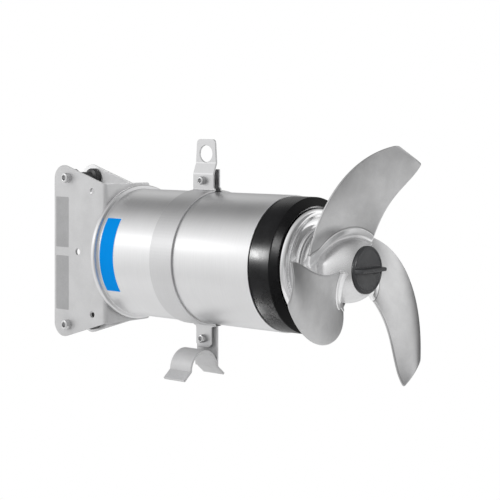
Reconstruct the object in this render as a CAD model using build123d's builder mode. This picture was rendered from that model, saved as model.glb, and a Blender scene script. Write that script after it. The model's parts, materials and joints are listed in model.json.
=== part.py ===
from build123d import *
from math import comb, cos, pi, radians, sin
import os

# Submersible mixer on a guide bracket: a motor in a stainless casing drives a
# three-bladed propeller, and the bracket behind it slides on a vertical square bar.
# Millimetres. +X runs forward along the shaft, +Y to the far side, +Z up.
# The origin is the middle of the bar's seat on the bracket web's rear face.

# Guide bracket
shaft_y = 41.5              # shaft axis beside the middle of the guide channel
bracket_sheet = 4.0
channel_width = 57.0        # between the two side plates
channel_reach = 118.0       # web's rear face back to the plates' rear edges
web_height = 223.0
web_overhang = 34.0         # web past the far side plate
web_corner = 5.0
plate_rear_height = 296.0   # at the rear edge, before its corners are rounded
plate_corner = 23.0
bend_inside = 2.5
spare_hole = 11.0
spare_hole_station = -26.5
spare_hole_height = 98.5
pin_hole_station = -61.0

# Guide rollers between the side plates
roller_station = -84.0
roller_height = 119.5
roller_thread = 10.0
roller_body = 17.0
roller_flange = 28.0
roller_flange_width = 11.0
roller_groove_slope = 3.0
roller_end_gap = 0.5
sleeve_diameter = 12.0
running_clearance = 0.08
roller_washer = 2.0
roller_washer_diameter = 21.0

# Screws in general, as shares of the thread's diameter
cap_head = 1.6
cap_socket = 0.8
cap_socket_depth = 0.5
flat_socket = 0.6
flat_socket_depth = 0.35
nut_size_share = 1.65
nut_depth_share = 0.8
hole_clearance = 0.25

# Rear cover and the screws that hold it and the bracket
cover_sheet = 5.0
cover_diameter = 212.0
cover_spigot = 167.0
cover_spigot_length = 12.0
cover_screw_thread = 6.0
cover_screw_circle = 181.0
cover_screw_count = 6
cover_screw_length = 14.0
web_screw_thread = 8.0
web_screw_length = 18.0
web_screw_height_channel = 58.0
web_screw_height_outer = 70.0
web_screw_outer_y = 50.0
oring_section = 3.0

# Cable gland in the rear cover
gland_y = 104.0
gland_flats = 34.0
gland_flange = 10.0
gland_thread = 24.0
gland_bore = 19.0
gland_stem = 20.0
gland_nut_flats = 32.0
gland_nut_length = 22.0
gland_lip = 3.0
cable_bore = 13.0

# Motor casing
casing_diameter = 203.0
casing_wall = 4.0
flange_diameter = 216.0
flange_width = 5.5
flange_round = 3.0
rear_ring_width = 12.0
rear_housing_length = 144.0
front_housing_length = 168.5
front_wall = 4.0
joint_rim = 8.0
joint_spigot = 11.0
fit_clearance = 0.1

# Black ring on the casing's nose
nose_step = 9.5             # casing's radius down to the nose's
nose_length = 38.5
nose_wall = 12.0
nose_lip = 10.0             # inward from the nose's wall, round its opening
ring_below_casing = 1.5
ring_length = 45.5
ring_bevel_length = 7.5
ring_mouth_lip = 2.0
ring_overlap = 5.0          # inward past the nose's surface, in front of the nose

# Front cover behind the propeller
front_cover_inset = 7.5     # inside the nose's surface
front_cover_round = 8.0
front_cover_depth = 13.0
front_cover_boss = 116.0
front_cover_boss_height = 5.5
front_cover_land = 1.5      # flat ring between the rounded rim and the dish
front_cover_dish = 3.0
front_cover_spigot = 14.0

# Clamp round the casing, with the lifting lug and the foot
clamp_sheet = 3.0
clamp_width = 46.0
clamp_station = 134.0
ear_gap = 10.0
lower_ear_gap = 8.0
ear_width = 43.0
lower_ear_width = 32.0
ear_height = 136.5
lower_ear_height = 140.0
clamp_thread = 8.0
upper_screw_height = 119.0
lower_screw_height = 126.0
lug_height = 183.0
lug_top_width = 38.5
lug_joggle_length = 17.0
lug_corner = 5.0
eye_diameter = 26.5
eye_below_top = 22.5
eye_margin = 1.25           # eye's rim to the joggle
ear_chamfer = 6.0
hanger_sheet = 3.5
foot_sheet = 3.5
foot_width = 44.0
foot_radius = 30.0
foot_top = 139.5
toe_rise = 12.5
toe_run = 15.0

# Shaft and what turns with it
shaft_rotor = 38.0
shaft_rear_seat = 25.0
shaft_front_seat = 40.0
shaft_seal_seat = 35.0
shaft_nose = 30.0
shaft_shoulder_step = 4.0
rotor_station = 55.0
rotor_length = 80.0
stator_bore = 110.0
air_gap = 0.7
end_ring_length = 8.0
end_ring_outer = 98.0
end_ring_inner = 62.0
core_back = 8.5             # iron left outside the windings
winding_inner = 122.0
winding_length = 15.0

# Rolling bearings: outer diameter, width, ball diameter
rear_bearing_diameter = 62.0
rear_bearing_width = 17.0
rear_ball_diameter = 9.5
front_bearing_diameter = 90.0
front_bearing_width = 23.0
front_ball_diameter = 15.0
ball_count = 7
ball_clearance = 0.3        # to the outer ring's groove
ball_seat_gap = 0.02        # to the inner ring's groove
ring_land = 0.55            # gap between the rings, as a share of the ball
bearing_wall = 9.0

# Shaft seals
seal_outer = 52.0
seal_seat_length = 12.0
seal_ring_outer = 54.0
seal_ring_length = 16.0
seal_bore_gap = 1.0
seal_face_gap = 0.3
partition_station = 272.0
partition_width = 6.0

# Propeller
hub_gap = 1.5               # front cover's boss to the hub's rear face
hub_skirt_diameter = 114.0
hub_skirt_length = 14.0
hub_skirt_round = 4.0
hub_ball_diameter = 99.0    # the hub's rounded body
hub_ball_station = 41.0     # its centre, from the hub's rear face
hub_waist_station = 23.5    # where the skirt's curve meets the ball
hub_length = 76.0
hub_bore_length = 50.0
hub_recess_diameter = 48.0
blade_count = 3
blade_thickness = 3.5
blade_camber = 5.0
tip_radius = 187.5
tip_sag = 4.9               # how far the tip's edge lies inside a full arc at its middle
root_radius = 55.5
root_depth_rear = 50.0
root_depth_front = 34.0
tip_round = 3.5
blade_depth = 91.9          # hub's rear face to the furthest tip corner
# Cubic curves of the two long edges, from root to tip: turn about the shaft in
# degrees from the near side, and station as a share of the blade's depth.
convex_edge_turns = (6.0, 48.1, 84.6, 110.1)
convex_edge_stations = (0.147, 0.608, 0.717, 0.937)
concave_edge_turns = (120.2, 114.9, 130.6, 128.0)
concave_edge_stations = (0.772, 0.849, 0.881, 1.0)
root_easing = 4.0           # how soon the curves level off inside the hub
propeller_screw_thread = 12.0
propeller_screw_length = 32.0
propeller_washer_width = 4.0
propeller_washer_diameter = 44.0
key_width = 8.0
key_height = 7.0
key_length = 34.0
plug_diameter = 69.0
plug_rim = 4.5
plug_spigot_length = 9.0
plug_fin_height = 11.0
plug_fin_width = 6.0

# Stations and radii that follow from the sizes above
web_front = bracket_sheet
cover_front = web_front + cover_sheet
tube_start = cover_front + flange_width
rear_housing_end = cover_front + rear_housing_length
front_housing_start = rear_housing_end + joint_rim
front_housing_end = front_housing_start + front_housing_length
nose_end = front_housing_end + nose_length
cover_face = nose_end + front_cover_depth
boss_face = cover_face + front_cover_boss_height
hub_rear = boss_face + hub_gap
hub_front = hub_rear + hub_length
casing_radius = casing_diameter / 2
nose_diameter = casing_diameter - 2 * nose_step
nose_opening = nose_diameter - 2 * nose_wall - 2 * nose_lip
ring_diameter = casing_diameter - 2 * ring_below_casing
ring_bore = nose_diameter - 2 * ring_overlap
ring_mouth_edge = ring_bore + 2 * ring_mouth_lip
front_cover_diameter = nose_diameter - 2 * front_cover_inset
eye_height = lug_height - eye_below_top
lug_bend_high = eye_height - eye_diameter / 2 - eye_margin
lug_bend_low = lug_bend_high - lug_joggle_length
casing_inner = casing_radius - casing_wall
clamp_end = clamp_station + clamp_width
clamp_middle = clamp_station + clamp_width / 2
clamp_outer = casing_radius + clamp_sheet
rotor_end = rotor_station + rotor_length
plate_near_outside = -channel_width / 2 - bracket_sheet
plate_far_outside = channel_width / 2 + bracket_sheet
web_far_edge = plate_far_outside + web_overhang
rear_bearing_start = cover_front + cover_spigot_length
front_bearing_start = rear_housing_end
front_bearing_end = front_bearing_start + front_bearing_width

shaft_axis = Axis((0, shaft_y, 0), (1, 0, 0))
shaft_section = Plane(origin=(0, shaft_y, 0), x_dir=(1, 0, 0), z_dir=(0, -1, 0))


def across(station):
    """A plane square to the shaft, with its own X along +Y and its own Y up."""
    return Plane(origin=(station, shaft_y, 0), x_dir=(0, 1, 0), z_dir=(1, 0, 0))


def facing_near(y, x=0.0, z=0.0):
    """A plane square to Y that faces the near side, with its own X forward and its own Y up."""
    return Plane(origin=(x, y, z), x_dir=(1, 0, 0), z_dir=(0, -1, 0))


def facing_far(y, x=0.0, z=0.0):
    """A plane square to Y that faces the far side."""
    return Plane(origin=(x, y, z), x_dir=(-1, 0, 0), z_dir=(0, 1, 0))


def band(start, end, inner, outer):
    """A rectangle of a turned section, between two stations and two diameters."""
    with Locations(((start + end) / 2, (inner + outer) / 4)):
        Rectangle(end - start, (outer - inner) / 2)


def plate_outline():
    """The side plates' outline: tall at the rear, sloping to the web's height."""
    Polygon(
        (web_front, -web_height / 2), (web_front, web_height / 2), (0, web_height / 2),
        (-channel_reach, plate_rear_height / 2), (-channel_reach, -plate_rear_height / 2),
        (0, -web_height / 2), align=None,
    )
    fillet(vertices().group_by(Axis.X)[0], plate_corner)


def plate_holes(mode=Mode.ADD):
    """Roller bolt holes, spare holes and the locking pin's hole, as one sketch."""
    roller_hole = roller_thread / 2 + hole_clearance
    with Locations((roller_station, roller_height), (roller_station, -roller_height)):
        Circle(roller_hole, mode=mode)
    with Locations(
        (spare_hole_station, spare_hole_height),
        (spare_hole_station, -spare_hole_height),
        (pin_hole_station, 0),
    ):
        Circle(spare_hole / 2, mode=mode)


def cap_screw(seat, thread, length):
    """A socket head screw: the seat plane faces out of the screw's head."""
    with BuildPart() as screw:
        with BuildSketch(seat):
            Circle(thread * cap_head / 2)
        extrude(amount=thread)
        with BuildSketch(seat.offset(thread)):
            RegularPolygon(thread * cap_socket / 2, 6, major_radius=False)
        extrude(amount=-thread * cap_socket_depth, mode=Mode.SUBTRACT)
        with BuildSketch(seat):
            Circle(thread / 2)
        extrude(amount=-length)
    return screw.part


def flat_screw(face, thread, length):
    """A countersunk screw, flush with the face plane, which looks out of the screw's head."""
    with BuildPart() as screw:
        with BuildSketch(face):
            Circle(thread)
        extrude(amount=-thread / 2, taper=45)
        with BuildSketch(face):
            Circle(thread / 2)
        extrude(amount=-length)
        with BuildSketch(face):
            RegularPolygon(thread * flat_socket / 2, 6, major_radius=False)
        extrude(amount=-thread * flat_socket_depth, mode=Mode.SUBTRACT)
    return screw.part


def hex_nut(seat, thread):
    """A hexagon nut that stands on the seat plane."""
    with BuildPart() as nut:
        with BuildSketch(seat):
            RegularPolygon(thread * nut_size_share / 2, 6, major_radius=False)
            Circle(thread / 2, mode=Mode.SUBTRACT)
        extrude(amount=thread * nut_depth_share)
    return nut.part


def groove(middle, diameter):
    """The section of a rubber ring's groove, cut into an outer diameter."""
    band(middle - oring_section / 2, middle + oring_section / 2, diameter - 2 * oring_section, diameter + 1)


def rubber_ring(middle, diameter):
    """A round rubber ring that fills its groove up to the outer diameter."""
    with BuildPart() as ring:
        with BuildSketch(shaft_section):
            with Locations((middle, diameter / 2 - oring_section / 2)):
                Circle(oring_section / 2)
        revolve(axis=shaft_axis)
    return ring.part


def save(piece, name):
    """Name the finished piece and write it to its own file."""
    piece.part.label = name
    export_step(piece.part, f"parts/{name}.step")


os.makedirs("parts", exist_ok=True)

# Where the countersunk screws stand in the web and in the cover
web_screw_places = [
    (y, side * height)
    for y, height in (
        (0, web_screw_height_channel),
        (web_screw_outer_y, web_screw_height_outer),
    )
    for side in (-1, 1)
]

# Bent bracket: the near side plate and the web are one sheet
with BuildPart() as guide_bracket:
    with BuildSketch(Plane.XY.offset(-plate_rear_height / 2)):
        with BuildLine():
            Polyline(
                (-channel_reach, plate_near_outside), (web_front, plate_near_outside),
                (web_front, web_far_edge), (0, web_far_edge),
                (0, -channel_width / 2), (-channel_reach, -channel_width / 2),
                close=True,
            )
        make_face()
        fillet(vertices().sort_by_distance((0, -channel_width / 2))[0], bend_inside)
        outer_bend = vertices().sort_by_distance((web_front, plate_near_outside))[0]
        fillet(outer_bend, bend_inside + bracket_sheet)
    extrude(amount=plate_rear_height)
    with BuildSketch(facing_near(plate_near_outside)):
        plate_outline()
    extrude(amount=-(web_far_edge - plate_near_outside), mode=Mode.INTERSECT)
    with BuildSketch(facing_near(plate_near_outside)):
        plate_holes()
    extrude(amount=-bracket_sheet, mode=Mode.SUBTRACT)
    far_corners = edges().filter_by(Axis.X).group_by(Axis.Y)[-1]
    fillet(far_corners, web_corner)
    for y, z in web_screw_places:
        with BuildSketch(Plane(origin=(0, y, z), x_dir=(0, -1, 0), z_dir=(-1, 0, 0))):
            Circle(web_screw_thread)
        extrude(amount=-bracket_sheet, taper=45, mode=Mode.SUBTRACT)
save(guide_bracket, "guide_bracket")

with BuildPart() as far_guide_plate:
    with BuildSketch(facing_near(plate_far_outside)):
        plate_outline()
        with Locations((web_front / 2, 0)):
            Rectangle(web_front, plate_rear_height, mode=Mode.SUBTRACT)
        plate_holes(Mode.SUBTRACT)
    extrude(amount=bracket_sheet)
save(far_guide_plate, "far_guide_plate")

bracket_fixings = [
    flat_screw(Plane(origin=(0, y, z), x_dir=(0, -1, 0), z_dir=(-1, 0, 0)), web_screw_thread, web_screw_length)
    for y, z in web_screw_places
]
with BuildPart() as web_screws:
    add(bracket_fixings)
save(web_screws, "web_screws")

# Rollers on sleeves, clamped between the plates by long screws
bolt_grip = channel_width + 2 * bracket_sheet + roller_washer
long_screws = [
    cap_screw(facing_near(plate_near_outside, roller_station, side * roller_height), roller_thread,
              bolt_grip + roller_thread)
    for side in (-1, 1)
]
with BuildPart() as roller_bolts:
    add(long_screws)
save(roller_bolts, "roller_bolts")

for name, side in (("upper_roller_sleeve", 1), ("lower_roller_sleeve", -1)):
    with BuildPart() as roller_sleeve:
        with BuildSketch(facing_far(-channel_width / 2, roller_station, side * roller_height)):
            Circle(sleeve_diameter / 2)
            Circle(roller_thread / 2 + hole_clearance, mode=Mode.SUBTRACT)
        extrude(amount=channel_width)
    save(roller_sleeve, name)

with BuildPart() as roller_washers:
    for side in (-1, 1):
        with BuildSketch(facing_far(plate_far_outside, roller_station, side * roller_height)):
            Circle(roller_washer_diameter / 2)
            Circle(roller_thread / 2 + hole_clearance, mode=Mode.SUBTRACT)
        extrude(amount=roller_washer)
save(roller_washers, "roller_washers")

long_screw_nuts = [
    hex_nut(facing_far(plate_far_outside + roller_washer, roller_station, side * roller_height), roller_thread)
    for side in (-1, 1)
]
with BuildPart() as roller_nuts:
    add(long_screw_nuts)
save(roller_nuts, "roller_nuts")

for name, side in (("upper_guide_roller", 1), ("lower_guide_roller", -1)):
    roller_axis = Axis((roller_station, 0, side * roller_height), (0, 1, 0))
    half_roller = channel_width / 2 - roller_end_gap
    roller_bore = sleeve_diameter / 2 + running_clearance
    groove_edge = half_roller - roller_flange_width
    with BuildPart() as guide_roller:
        with BuildSketch(Plane(origin=(roller_station, 0, side * roller_height), x_dir=(0, 1, 0), z_dir=(1, 0, 0))):
            with BuildLine():
                Polyline(
                    (0, roller_bore), (half_roller, roller_bore), (half_roller, roller_flange / 2),
                    (groove_edge, roller_flange / 2), (groove_edge - roller_groove_slope, roller_body / 2),
                    (0, roller_body / 2), close=True,
                )
            make_face()
            mirror(about=Plane.YZ)
        revolve(axis=roller_axis)
    save(guide_roller, name)

# Rear cover: a disc, a spigot in the housing and the rear bearing's seat
cover_screw_angles = [360 / cover_screw_count * (k + 0.5) for k in range(cover_screw_count)]
cover_screw_places = [
    (cover_screw_circle / 2 * cos(radians(a)), cover_screw_circle / 2 * sin(radians(a)))
    for a in cover_screw_angles
]
bearing_boss = rear_bearing_diameter + 2 * bearing_wall
groove_middle = cover_front + cover_spigot_length / 2
with BuildPart() as rear_cover:
    with BuildSketch(shaft_section):
        band(web_front, cover_front, 0, cover_diameter)
        band(cover_front, rear_bearing_start, 0, cover_spigot)
        band(rear_bearing_start, rear_bearing_start + rear_bearing_width, rear_bearing_diameter, bearing_boss)
    revolve(axis=shaft_axis)
    with BuildSketch(shaft_section):
        groove(groove_middle, cover_spigot)
    revolve(axis=shaft_axis, mode=Mode.SUBTRACT)
    for y, z in web_screw_places:
        with BuildSketch(Plane(origin=(web_front, y, z), x_dir=(0, 1, 0), z_dir=(1, 0, 0))):
            Circle(web_screw_thread / 2)
        extrude(amount=web_screw_length - bracket_sheet, mode=Mode.SUBTRACT)
    for y, z in cover_screw_places:
        with BuildSketch(Plane(origin=(web_front, shaft_y + y, z), x_dir=(0, 1, 0), z_dir=(1, 0, 0))):
            Circle(cover_screw_thread)
        extrude(amount=cover_screw_thread / 2, taper=45, mode=Mode.SUBTRACT)
        with BuildSketch(Plane(origin=(web_front, shaft_y + y, z), x_dir=(0, 1, 0), z_dir=(1, 0, 0))):
            Circle(cover_screw_thread / 2 + hole_clearance)
        extrude(amount=cover_sheet, mode=Mode.SUBTRACT)
    with BuildSketch(Plane(origin=(web_front, gland_y, 0), x_dir=(0, 1, 0), z_dir=(1, 0, 0))):
        Circle(gland_thread / 2)
    extrude(amount=cover_sheet + cover_spigot_length, mode=Mode.SUBTRACT)
save(rear_cover, "rear_cover")

cover_fixings = [
    flat_screw(Plane(origin=(web_front, shaft_y + y, z), x_dir=(0, -1, 0), z_dir=(-1, 0, 0)),
               cover_screw_thread, cover_screw_length)
    for y, z in cover_screw_places
]
with BuildPart() as rear_cover_screws:
    add(cover_fixings)
save(rear_cover_screws, "rear_cover_screws")

cover_ring = rubber_ring(groove_middle, cover_spigot)
with BuildPart() as rear_cover_oring:
    add(cover_ring)
save(rear_cover_oring, "rear_cover_oring")

# Cable gland: body, rubber bush and pressure nut, all on one axis
gland_axis = Axis((0, gland_y, 0), (1, 0, 0))
gland_section = Plane(origin=(0, gland_y, 0), x_dir=(1, 0, 0), z_dir=(0, -1, 0))
gland_step = web_front - gland_flange
gland_mouth = gland_step - gland_stem
nut_inside = gland_mouth - gland_lip
with BuildPart() as gland_body:
    with BuildSketch(Plane(origin=(gland_step, gland_y, 0), x_dir=(0, 1, 0), z_dir=(1, 0, 0))):
        RegularPolygon(gland_flats / 2, 6, major_radius=False)
    extrude(amount=gland_flange)
    with BuildSketch(gland_section):
        band(web_front, cover_front + cover_spigot_length, 0, gland_thread)
        band(gland_mouth, gland_step, 0, gland_thread)
    revolve(axis=gland_axis)
    with BuildSketch(gland_section):
        band(gland_mouth, gland_step + gland_flange / 2, 0, gland_bore)
        band(gland_step + gland_flange / 2, cover_front + cover_spigot_length, 0, cable_bore + 1)
    revolve(axis=gland_axis, mode=Mode.SUBTRACT)
save(gland_body, "gland_body")

with BuildPart() as gland_bush:
    with BuildSketch(gland_section):
        band(gland_mouth, gland_step + gland_flange / 2, cable_bore, gland_bore)
    revolve(axis=gland_axis)
save(gland_bush, "gland_bush")

with BuildPart() as gland_nut:
    with BuildSketch(Plane(origin=(nut_inside, gland_y, 0), x_dir=(0, 1, 0), z_dir=(1, 0, 0))):
        RegularPolygon(gland_nut_flats / 2, 6, major_radius=False)
    extrude(amount=gland_nut_length)
    chamfer(faces().sort_by(Axis.X)[0].edges(), gland_lip / 2)
    with BuildSketch(gland_section):
        band(gland_mouth, nut_inside + gland_nut_length, 0, gland_thread)
        band(nut_inside, gland_mouth, 0, cable_bore + 2)
    revolve(axis=gland_axis, mode=Mode.SUBTRACT)
save(gland_nut, "gland_nut")

# Rear housing: drawn tube with a rolled rear flange and a ring welded inside it
with BuildPart() as rear_housing:
    with BuildSketch(shaft_section):
        band(cover_front, tube_start, cover_spigot, flange_diameter)
        band(cover_front, cover_front + rear_ring_width, cover_spigot, casing_diameter)
        band(tube_start, rear_housing_end, 2 * casing_inner, casing_diameter)
        rim = vertices().sort_by_distance((tube_start, flange_diameter / 2))[0]
        fillet(rim, flange_round)
    revolve(axis=shaft_axis)
    for y, z in cover_screw_places:
        with BuildSketch(Plane(origin=(cover_front, shaft_y + y, z), x_dir=(0, 1, 0), z_dir=(1, 0, 0))):
            Circle(cover_screw_thread / 2)
        extrude(amount=cover_screw_length - cover_sheet, mode=Mode.SUBTRACT)
save(rear_housing, "rear_housing")

# Motor
winding_outer = 2 * casing_inner - 2 * core_back
with BuildPart() as stator_core:
    with BuildSketch(shaft_section):
        band(rotor_station, rotor_end, stator_bore, 2 * casing_inner)
    revolve(axis=shaft_axis)
save(stator_core, "stator_core")

with BuildPart() as stator_windings:
    with BuildSketch(shaft_section):
        band(rotor_station - winding_length, rotor_station, winding_inner, winding_outer)
        band(rotor_end, rotor_end + winding_length, winding_inner, winding_outer)
        free_ends = vertices().group_by(Axis.X)
        fillet(free_ends[0] + free_ends[-1], winding_length / 3)
    revolve(axis=shaft_axis)
save(stator_windings, "stator_windings")

# Bearing holder: its rim is the joint between the two housings, under the clamp
holder_inside = 2 * casing_inner - 2 * fit_clearance
holder_boss = front_bearing_diameter + 2 * bearing_wall
holder_spigot_start = rear_housing_end - joint_spigot
holder_spigot_end = front_housing_start + joint_spigot
holder_grooves = (rear_housing_end - joint_spigot / 2, front_housing_start + joint_spigot / 2)
with BuildPart() as bearing_holder:
    with BuildSketch(shaft_section):
        band(rear_housing_end, front_housing_start, holder_boss, casing_diameter)
        band(holder_spigot_start, holder_spigot_end, holder_inside - 4 * oring_section, holder_inside)
        band(front_bearing_start, front_bearing_end, front_bearing_diameter, holder_boss)
        band(front_bearing_end, front_bearing_end + casing_wall, front_bearing_diameter - 2 * casing_wall, holder_boss)
    revolve(axis=shaft_axis)
    with BuildSketch(shaft_section):
        for middle in holder_grooves:
            groove(middle, holder_inside)
    revolve(axis=shaft_axis, mode=Mode.SUBTRACT)
save(bearing_holder, "bearing_holder")

holder_rings = [rubber_ring(middle, holder_inside + 2 * fit_clearance) for middle in holder_grooves]
with BuildPart() as bearing_holder_orings:
    add(holder_rings)
save(bearing_holder_orings, "bearing_holder_orings")

# Front housing: tube, and a reduced nose that carries the black ring
front_inner = casing_diameter - 2 * front_wall
with BuildPart() as front_housing:
    with BuildSketch(shaft_section):
        band(front_housing_start, front_housing_end, front_inner, casing_diameter)
        band(front_housing_end - front_wall, front_housing_end, nose_diameter - 2 * nose_wall, front_inner)
        band(front_housing_end - front_wall, nose_end, nose_diameter - 2 * nose_wall, nose_diameter)
        band(nose_end - nose_wall, nose_end, nose_opening, nose_diameter)
    revolve(axis=shaft_axis)
save(front_housing, "front_housing")

with BuildPart() as bumper_ring:
    with BuildSketch(shaft_section):
        with BuildLine():
            Polyline(
                (front_housing_end, nose_diameter / 2),
                (front_housing_end, ring_diameter / 2),
                (front_housing_end + ring_length - ring_bevel_length, ring_diameter / 2),
                (front_housing_end + ring_length, ring_mouth_edge / 2),
                (front_housing_end + ring_length, ring_bore / 2),
                (nose_end, ring_bore / 2),
                (nose_end, nose_diameter / 2),
                close=True,
            )
        make_face()
    revolve(axis=shaft_axis)
save(bumper_ring, "bumper_ring")

# Seal partition in the front housing, and the stationary halves of both seals
partition_end = partition_station + seal_seat_length
with BuildPart() as seal_partition:
    with BuildSketch(shaft_section):
        band(partition_station, partition_station + partition_width, seal_outer, front_inner)
        band(partition_station, partition_end, seal_outer, seal_outer + 2 * bearing_wall)
    revolve(axis=shaft_axis)
save(seal_partition, "seal_partition")

seal_shaft_bore = shaft_seal_seat + 2 * seal_bore_gap
outer_seat_start = nose_end - front_cover_spigot
spigot_groove = nose_end - nose_wall / 2
dish_inside = front_cover_boss / 2
dish_outside = front_cover_diameter / 2 - front_cover_round - front_cover_land
with BuildPart() as inner_seal_seat:
    with BuildSketch(shaft_section):
        band(partition_station, partition_end, seal_shaft_bore, seal_outer)
    revolve(axis=shaft_axis)
save(inner_seal_seat, "inner_seal_seat")

with BuildPart() as outer_seal_seat:
    with BuildSketch(shaft_section):
        band(outer_seat_start, outer_seat_start + seal_seat_length, seal_shaft_bore, seal_outer)
    revolve(axis=shaft_axis)
save(outer_seal_seat, "outer_seal_seat")

with BuildPart() as front_cover:
    with BuildSketch(shaft_section):
        band(nose_end, cover_face, seal_shaft_bore, front_cover_diameter)
        band(cover_face, boss_face, seal_shaft_bore, front_cover_boss)
        band(outer_seat_start, nose_end, seal_shaft_bore, nose_opening - 2 * fit_clearance)
        edge_point = vertices().sort_by_distance((cover_face, front_cover_diameter / 2))[0]
        fillet(edge_point, front_cover_round)
        boss_point = vertices().sort_by_distance((boss_face, front_cover_boss / 2))[0]
        fillet(boss_point, front_cover_boss_height / 2)
    revolve(axis=shaft_axis)
    with BuildSketch(shaft_section):
        band(outer_seat_start, outer_seat_start + seal_seat_length, 0, seal_outer)
        groove(spigot_groove, nose_opening - 2 * fit_clearance)
        with BuildLine():
            ThreePointArc(
                (cover_face, dish_inside), (cover_face - front_cover_dish, (dish_inside + dish_outside) / 2),
                (cover_face, dish_outside),
            )
            Line((cover_face, dish_outside), (cover_face, dish_inside))
        make_face()
    revolve(axis=shaft_axis, mode=Mode.SUBTRACT)
save(front_cover, "front_cover")

nose_ring = rubber_ring(spigot_groove, nose_opening)
with BuildPart() as front_cover_oring:
    add(nose_ring)
save(front_cover_oring, "front_cover_oring")

# Clamp: two half straps whose ears are drawn together at the top and the bottom
lug_axis_x = clamp_station + ear_width / 2


def half_strap_profile(side):
    """Half ring from the top ear gap to the bottom one, with the straight parts of both ears."""
    Circle(clamp_outer)
    Circle(casing_radius, mode=Mode.SUBTRACT)
    cut = 2 * clamp_outer
    with Locations((-side * cut / 2 + side * ear_gap / 2, clamp_outer)):
        Rectangle(cut, 2 * clamp_outer, mode=Mode.SUBTRACT)
    with Locations((-side * cut / 2 + side * lower_ear_gap / 2, -clamp_outer)):
        Rectangle(cut, 2 * clamp_outer, mode=Mode.SUBTRACT)


def ear(side, gap, low, high):
    """A straight ear beside the clamp's parting plane, between two heights."""
    with Locations((side * (gap + clamp_sheet) / 2, (low + high) / 2)):
        Rectangle(clamp_sheet, high - low)


ear_root = casing_radius + clamp_sheet / 2
with BuildPart() as lug_blank:
    with BuildSketch(across(clamp_station)):
        with BuildLine():
            Polyline(
                (-ear_gap / 2, lug_bend_low - lug_corner), (-ear_gap / 2, lug_bend_low),
                (clamp_sheet / 2, lug_bend_high), (clamp_sheet / 2, lug_height),
                (-clamp_sheet / 2, lug_height), (-clamp_sheet / 2, lug_bend_high),
                (-ear_gap / 2 - clamp_sheet, lug_bend_low),
                (-ear_gap / 2 - clamp_sheet, lug_bend_low - lug_corner),
                close=True,
            )
        make_face()
        bends = vertices().group_by(Axis.Y)
        fillet(bends[1] + bends[2], clamp_sheet)
    extrude(amount=ear_width)
    with BuildSketch(facing_near(shaft_y)):
        with BuildLine():
            Polyline(
                (clamp_station, ear_root), (clamp_station, lug_bend_low),
                (lug_axis_x - lug_top_width / 2, lug_height),
                (lug_axis_x + lug_top_width / 2, lug_height),
                (clamp_station + ear_width, lug_bend_low), (clamp_station + ear_width, ear_root),
                close=True,
            )
        make_face()
        fillet(vertices().group_by(Axis.Y)[-1], lug_corner)
        with Locations((lug_axis_x, eye_height)):
            Circle(eye_diameter / 2, mode=Mode.SUBTRACT)
    extrude(amount=clamp_outer, both=True, mode=Mode.INTERSECT)

clamp_hole = clamp_thread / 2 + hole_clearance
for name, side in (("near_clamp_strap", -1), ("far_clamp_strap", 1)):
    upper_top = lug_bend_low - lug_corner if side < 0 else ear_height
    with BuildPart() as strap:
        with BuildSketch(across(clamp_station)):
            half_strap_profile(side)
        extrude(amount=clamp_width)
        with BuildSketch(across(clamp_station)):
            ear(side, ear_gap, ear_root, upper_top)
        extrude(amount=ear_width)
        with BuildSketch(across(lug_axis_x - lower_ear_width / 2)):
            ear(side, lower_ear_gap, -lower_ear_height, -ear_root)
        extrude(amount=lower_ear_width)
        if side < 0:
            add(lug_blank.part)
        with BuildSketch(facing_near(shaft_y)):
            with Locations((lug_axis_x, upper_screw_height), (lug_axis_x, -lower_screw_height)):
                Circle(clamp_hole)
        extrude(amount=clamp_outer, both=True, mode=Mode.SUBTRACT)
        chamfer(edges().filter_by(Axis.Y).sort_by(Axis.Z)[:2], ear_chamfer)
    save(strap, name)

# Foot: a hanger between the lower ears and an arch welded to it, each with a splayed toe
hanger_near = lower_ear_gap / 2 - hanger_sheet
arch_middle = hanger_near - foot_radius
arch_centre = -(foot_top + foot_radius)
leg = foot_radius - foot_sheet / 2
with BuildPart() as foot_arch:
    with BuildSketch(across(clamp_station)):
        with BuildLine():
            Line((arch_middle - leg - toe_run, arch_centre - toe_rise), (arch_middle - leg, arch_centre))
            ThreePointArc(
                (arch_middle - leg, arch_centre), (arch_middle, arch_centre + leg), (arch_middle + leg, arch_centre)
            )
        trace(line_width=foot_sheet)
    extrude(amount=foot_width)
save(foot_arch, "foot_arch")

hanger_middle = hanger_near + hanger_sheet / 2
with BuildPart() as foot_hanger:
    with BuildSketch(across(clamp_station)):
        with BuildLine():
            Polyline(
                (hanger_middle, -clamp_outer - 1), (hanger_middle, arch_centre),
                (hanger_middle + toe_run, arch_centre - toe_rise),
            )
        trace(line_width=hanger_sheet)
    extrude(amount=ear_width)
    with BuildSketch(facing_near(shaft_y)):
        with Locations((lug_axis_x, -lower_screw_height)):
            Circle(clamp_hole)
    extrude(amount=clamp_outer, both=True, mode=Mode.SUBTRACT)
save(foot_hanger, "foot_hanger")

screw_spots = ((ear_gap, upper_screw_height), (lower_ear_gap, -lower_screw_height))
ear_screws = [
    cap_screw(facing_near(shaft_y - gap / 2 - clamp_sheet, lug_axis_x, height), clamp_thread,
              gap + 2 * clamp_sheet + clamp_thread)
    for gap, height in screw_spots
]
ear_nuts = [
    hex_nut(facing_far(shaft_y + gap / 2 + clamp_sheet, lug_axis_x, height), clamp_thread)
    for gap, height in screw_spots
]
with BuildPart() as clamp_screws:
    add(ear_screws)
save(clamp_screws, "clamp_screws")

with BuildPart() as clamp_nuts:
    add(ear_nuts)
save(clamp_nuts, "clamp_nuts")


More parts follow.
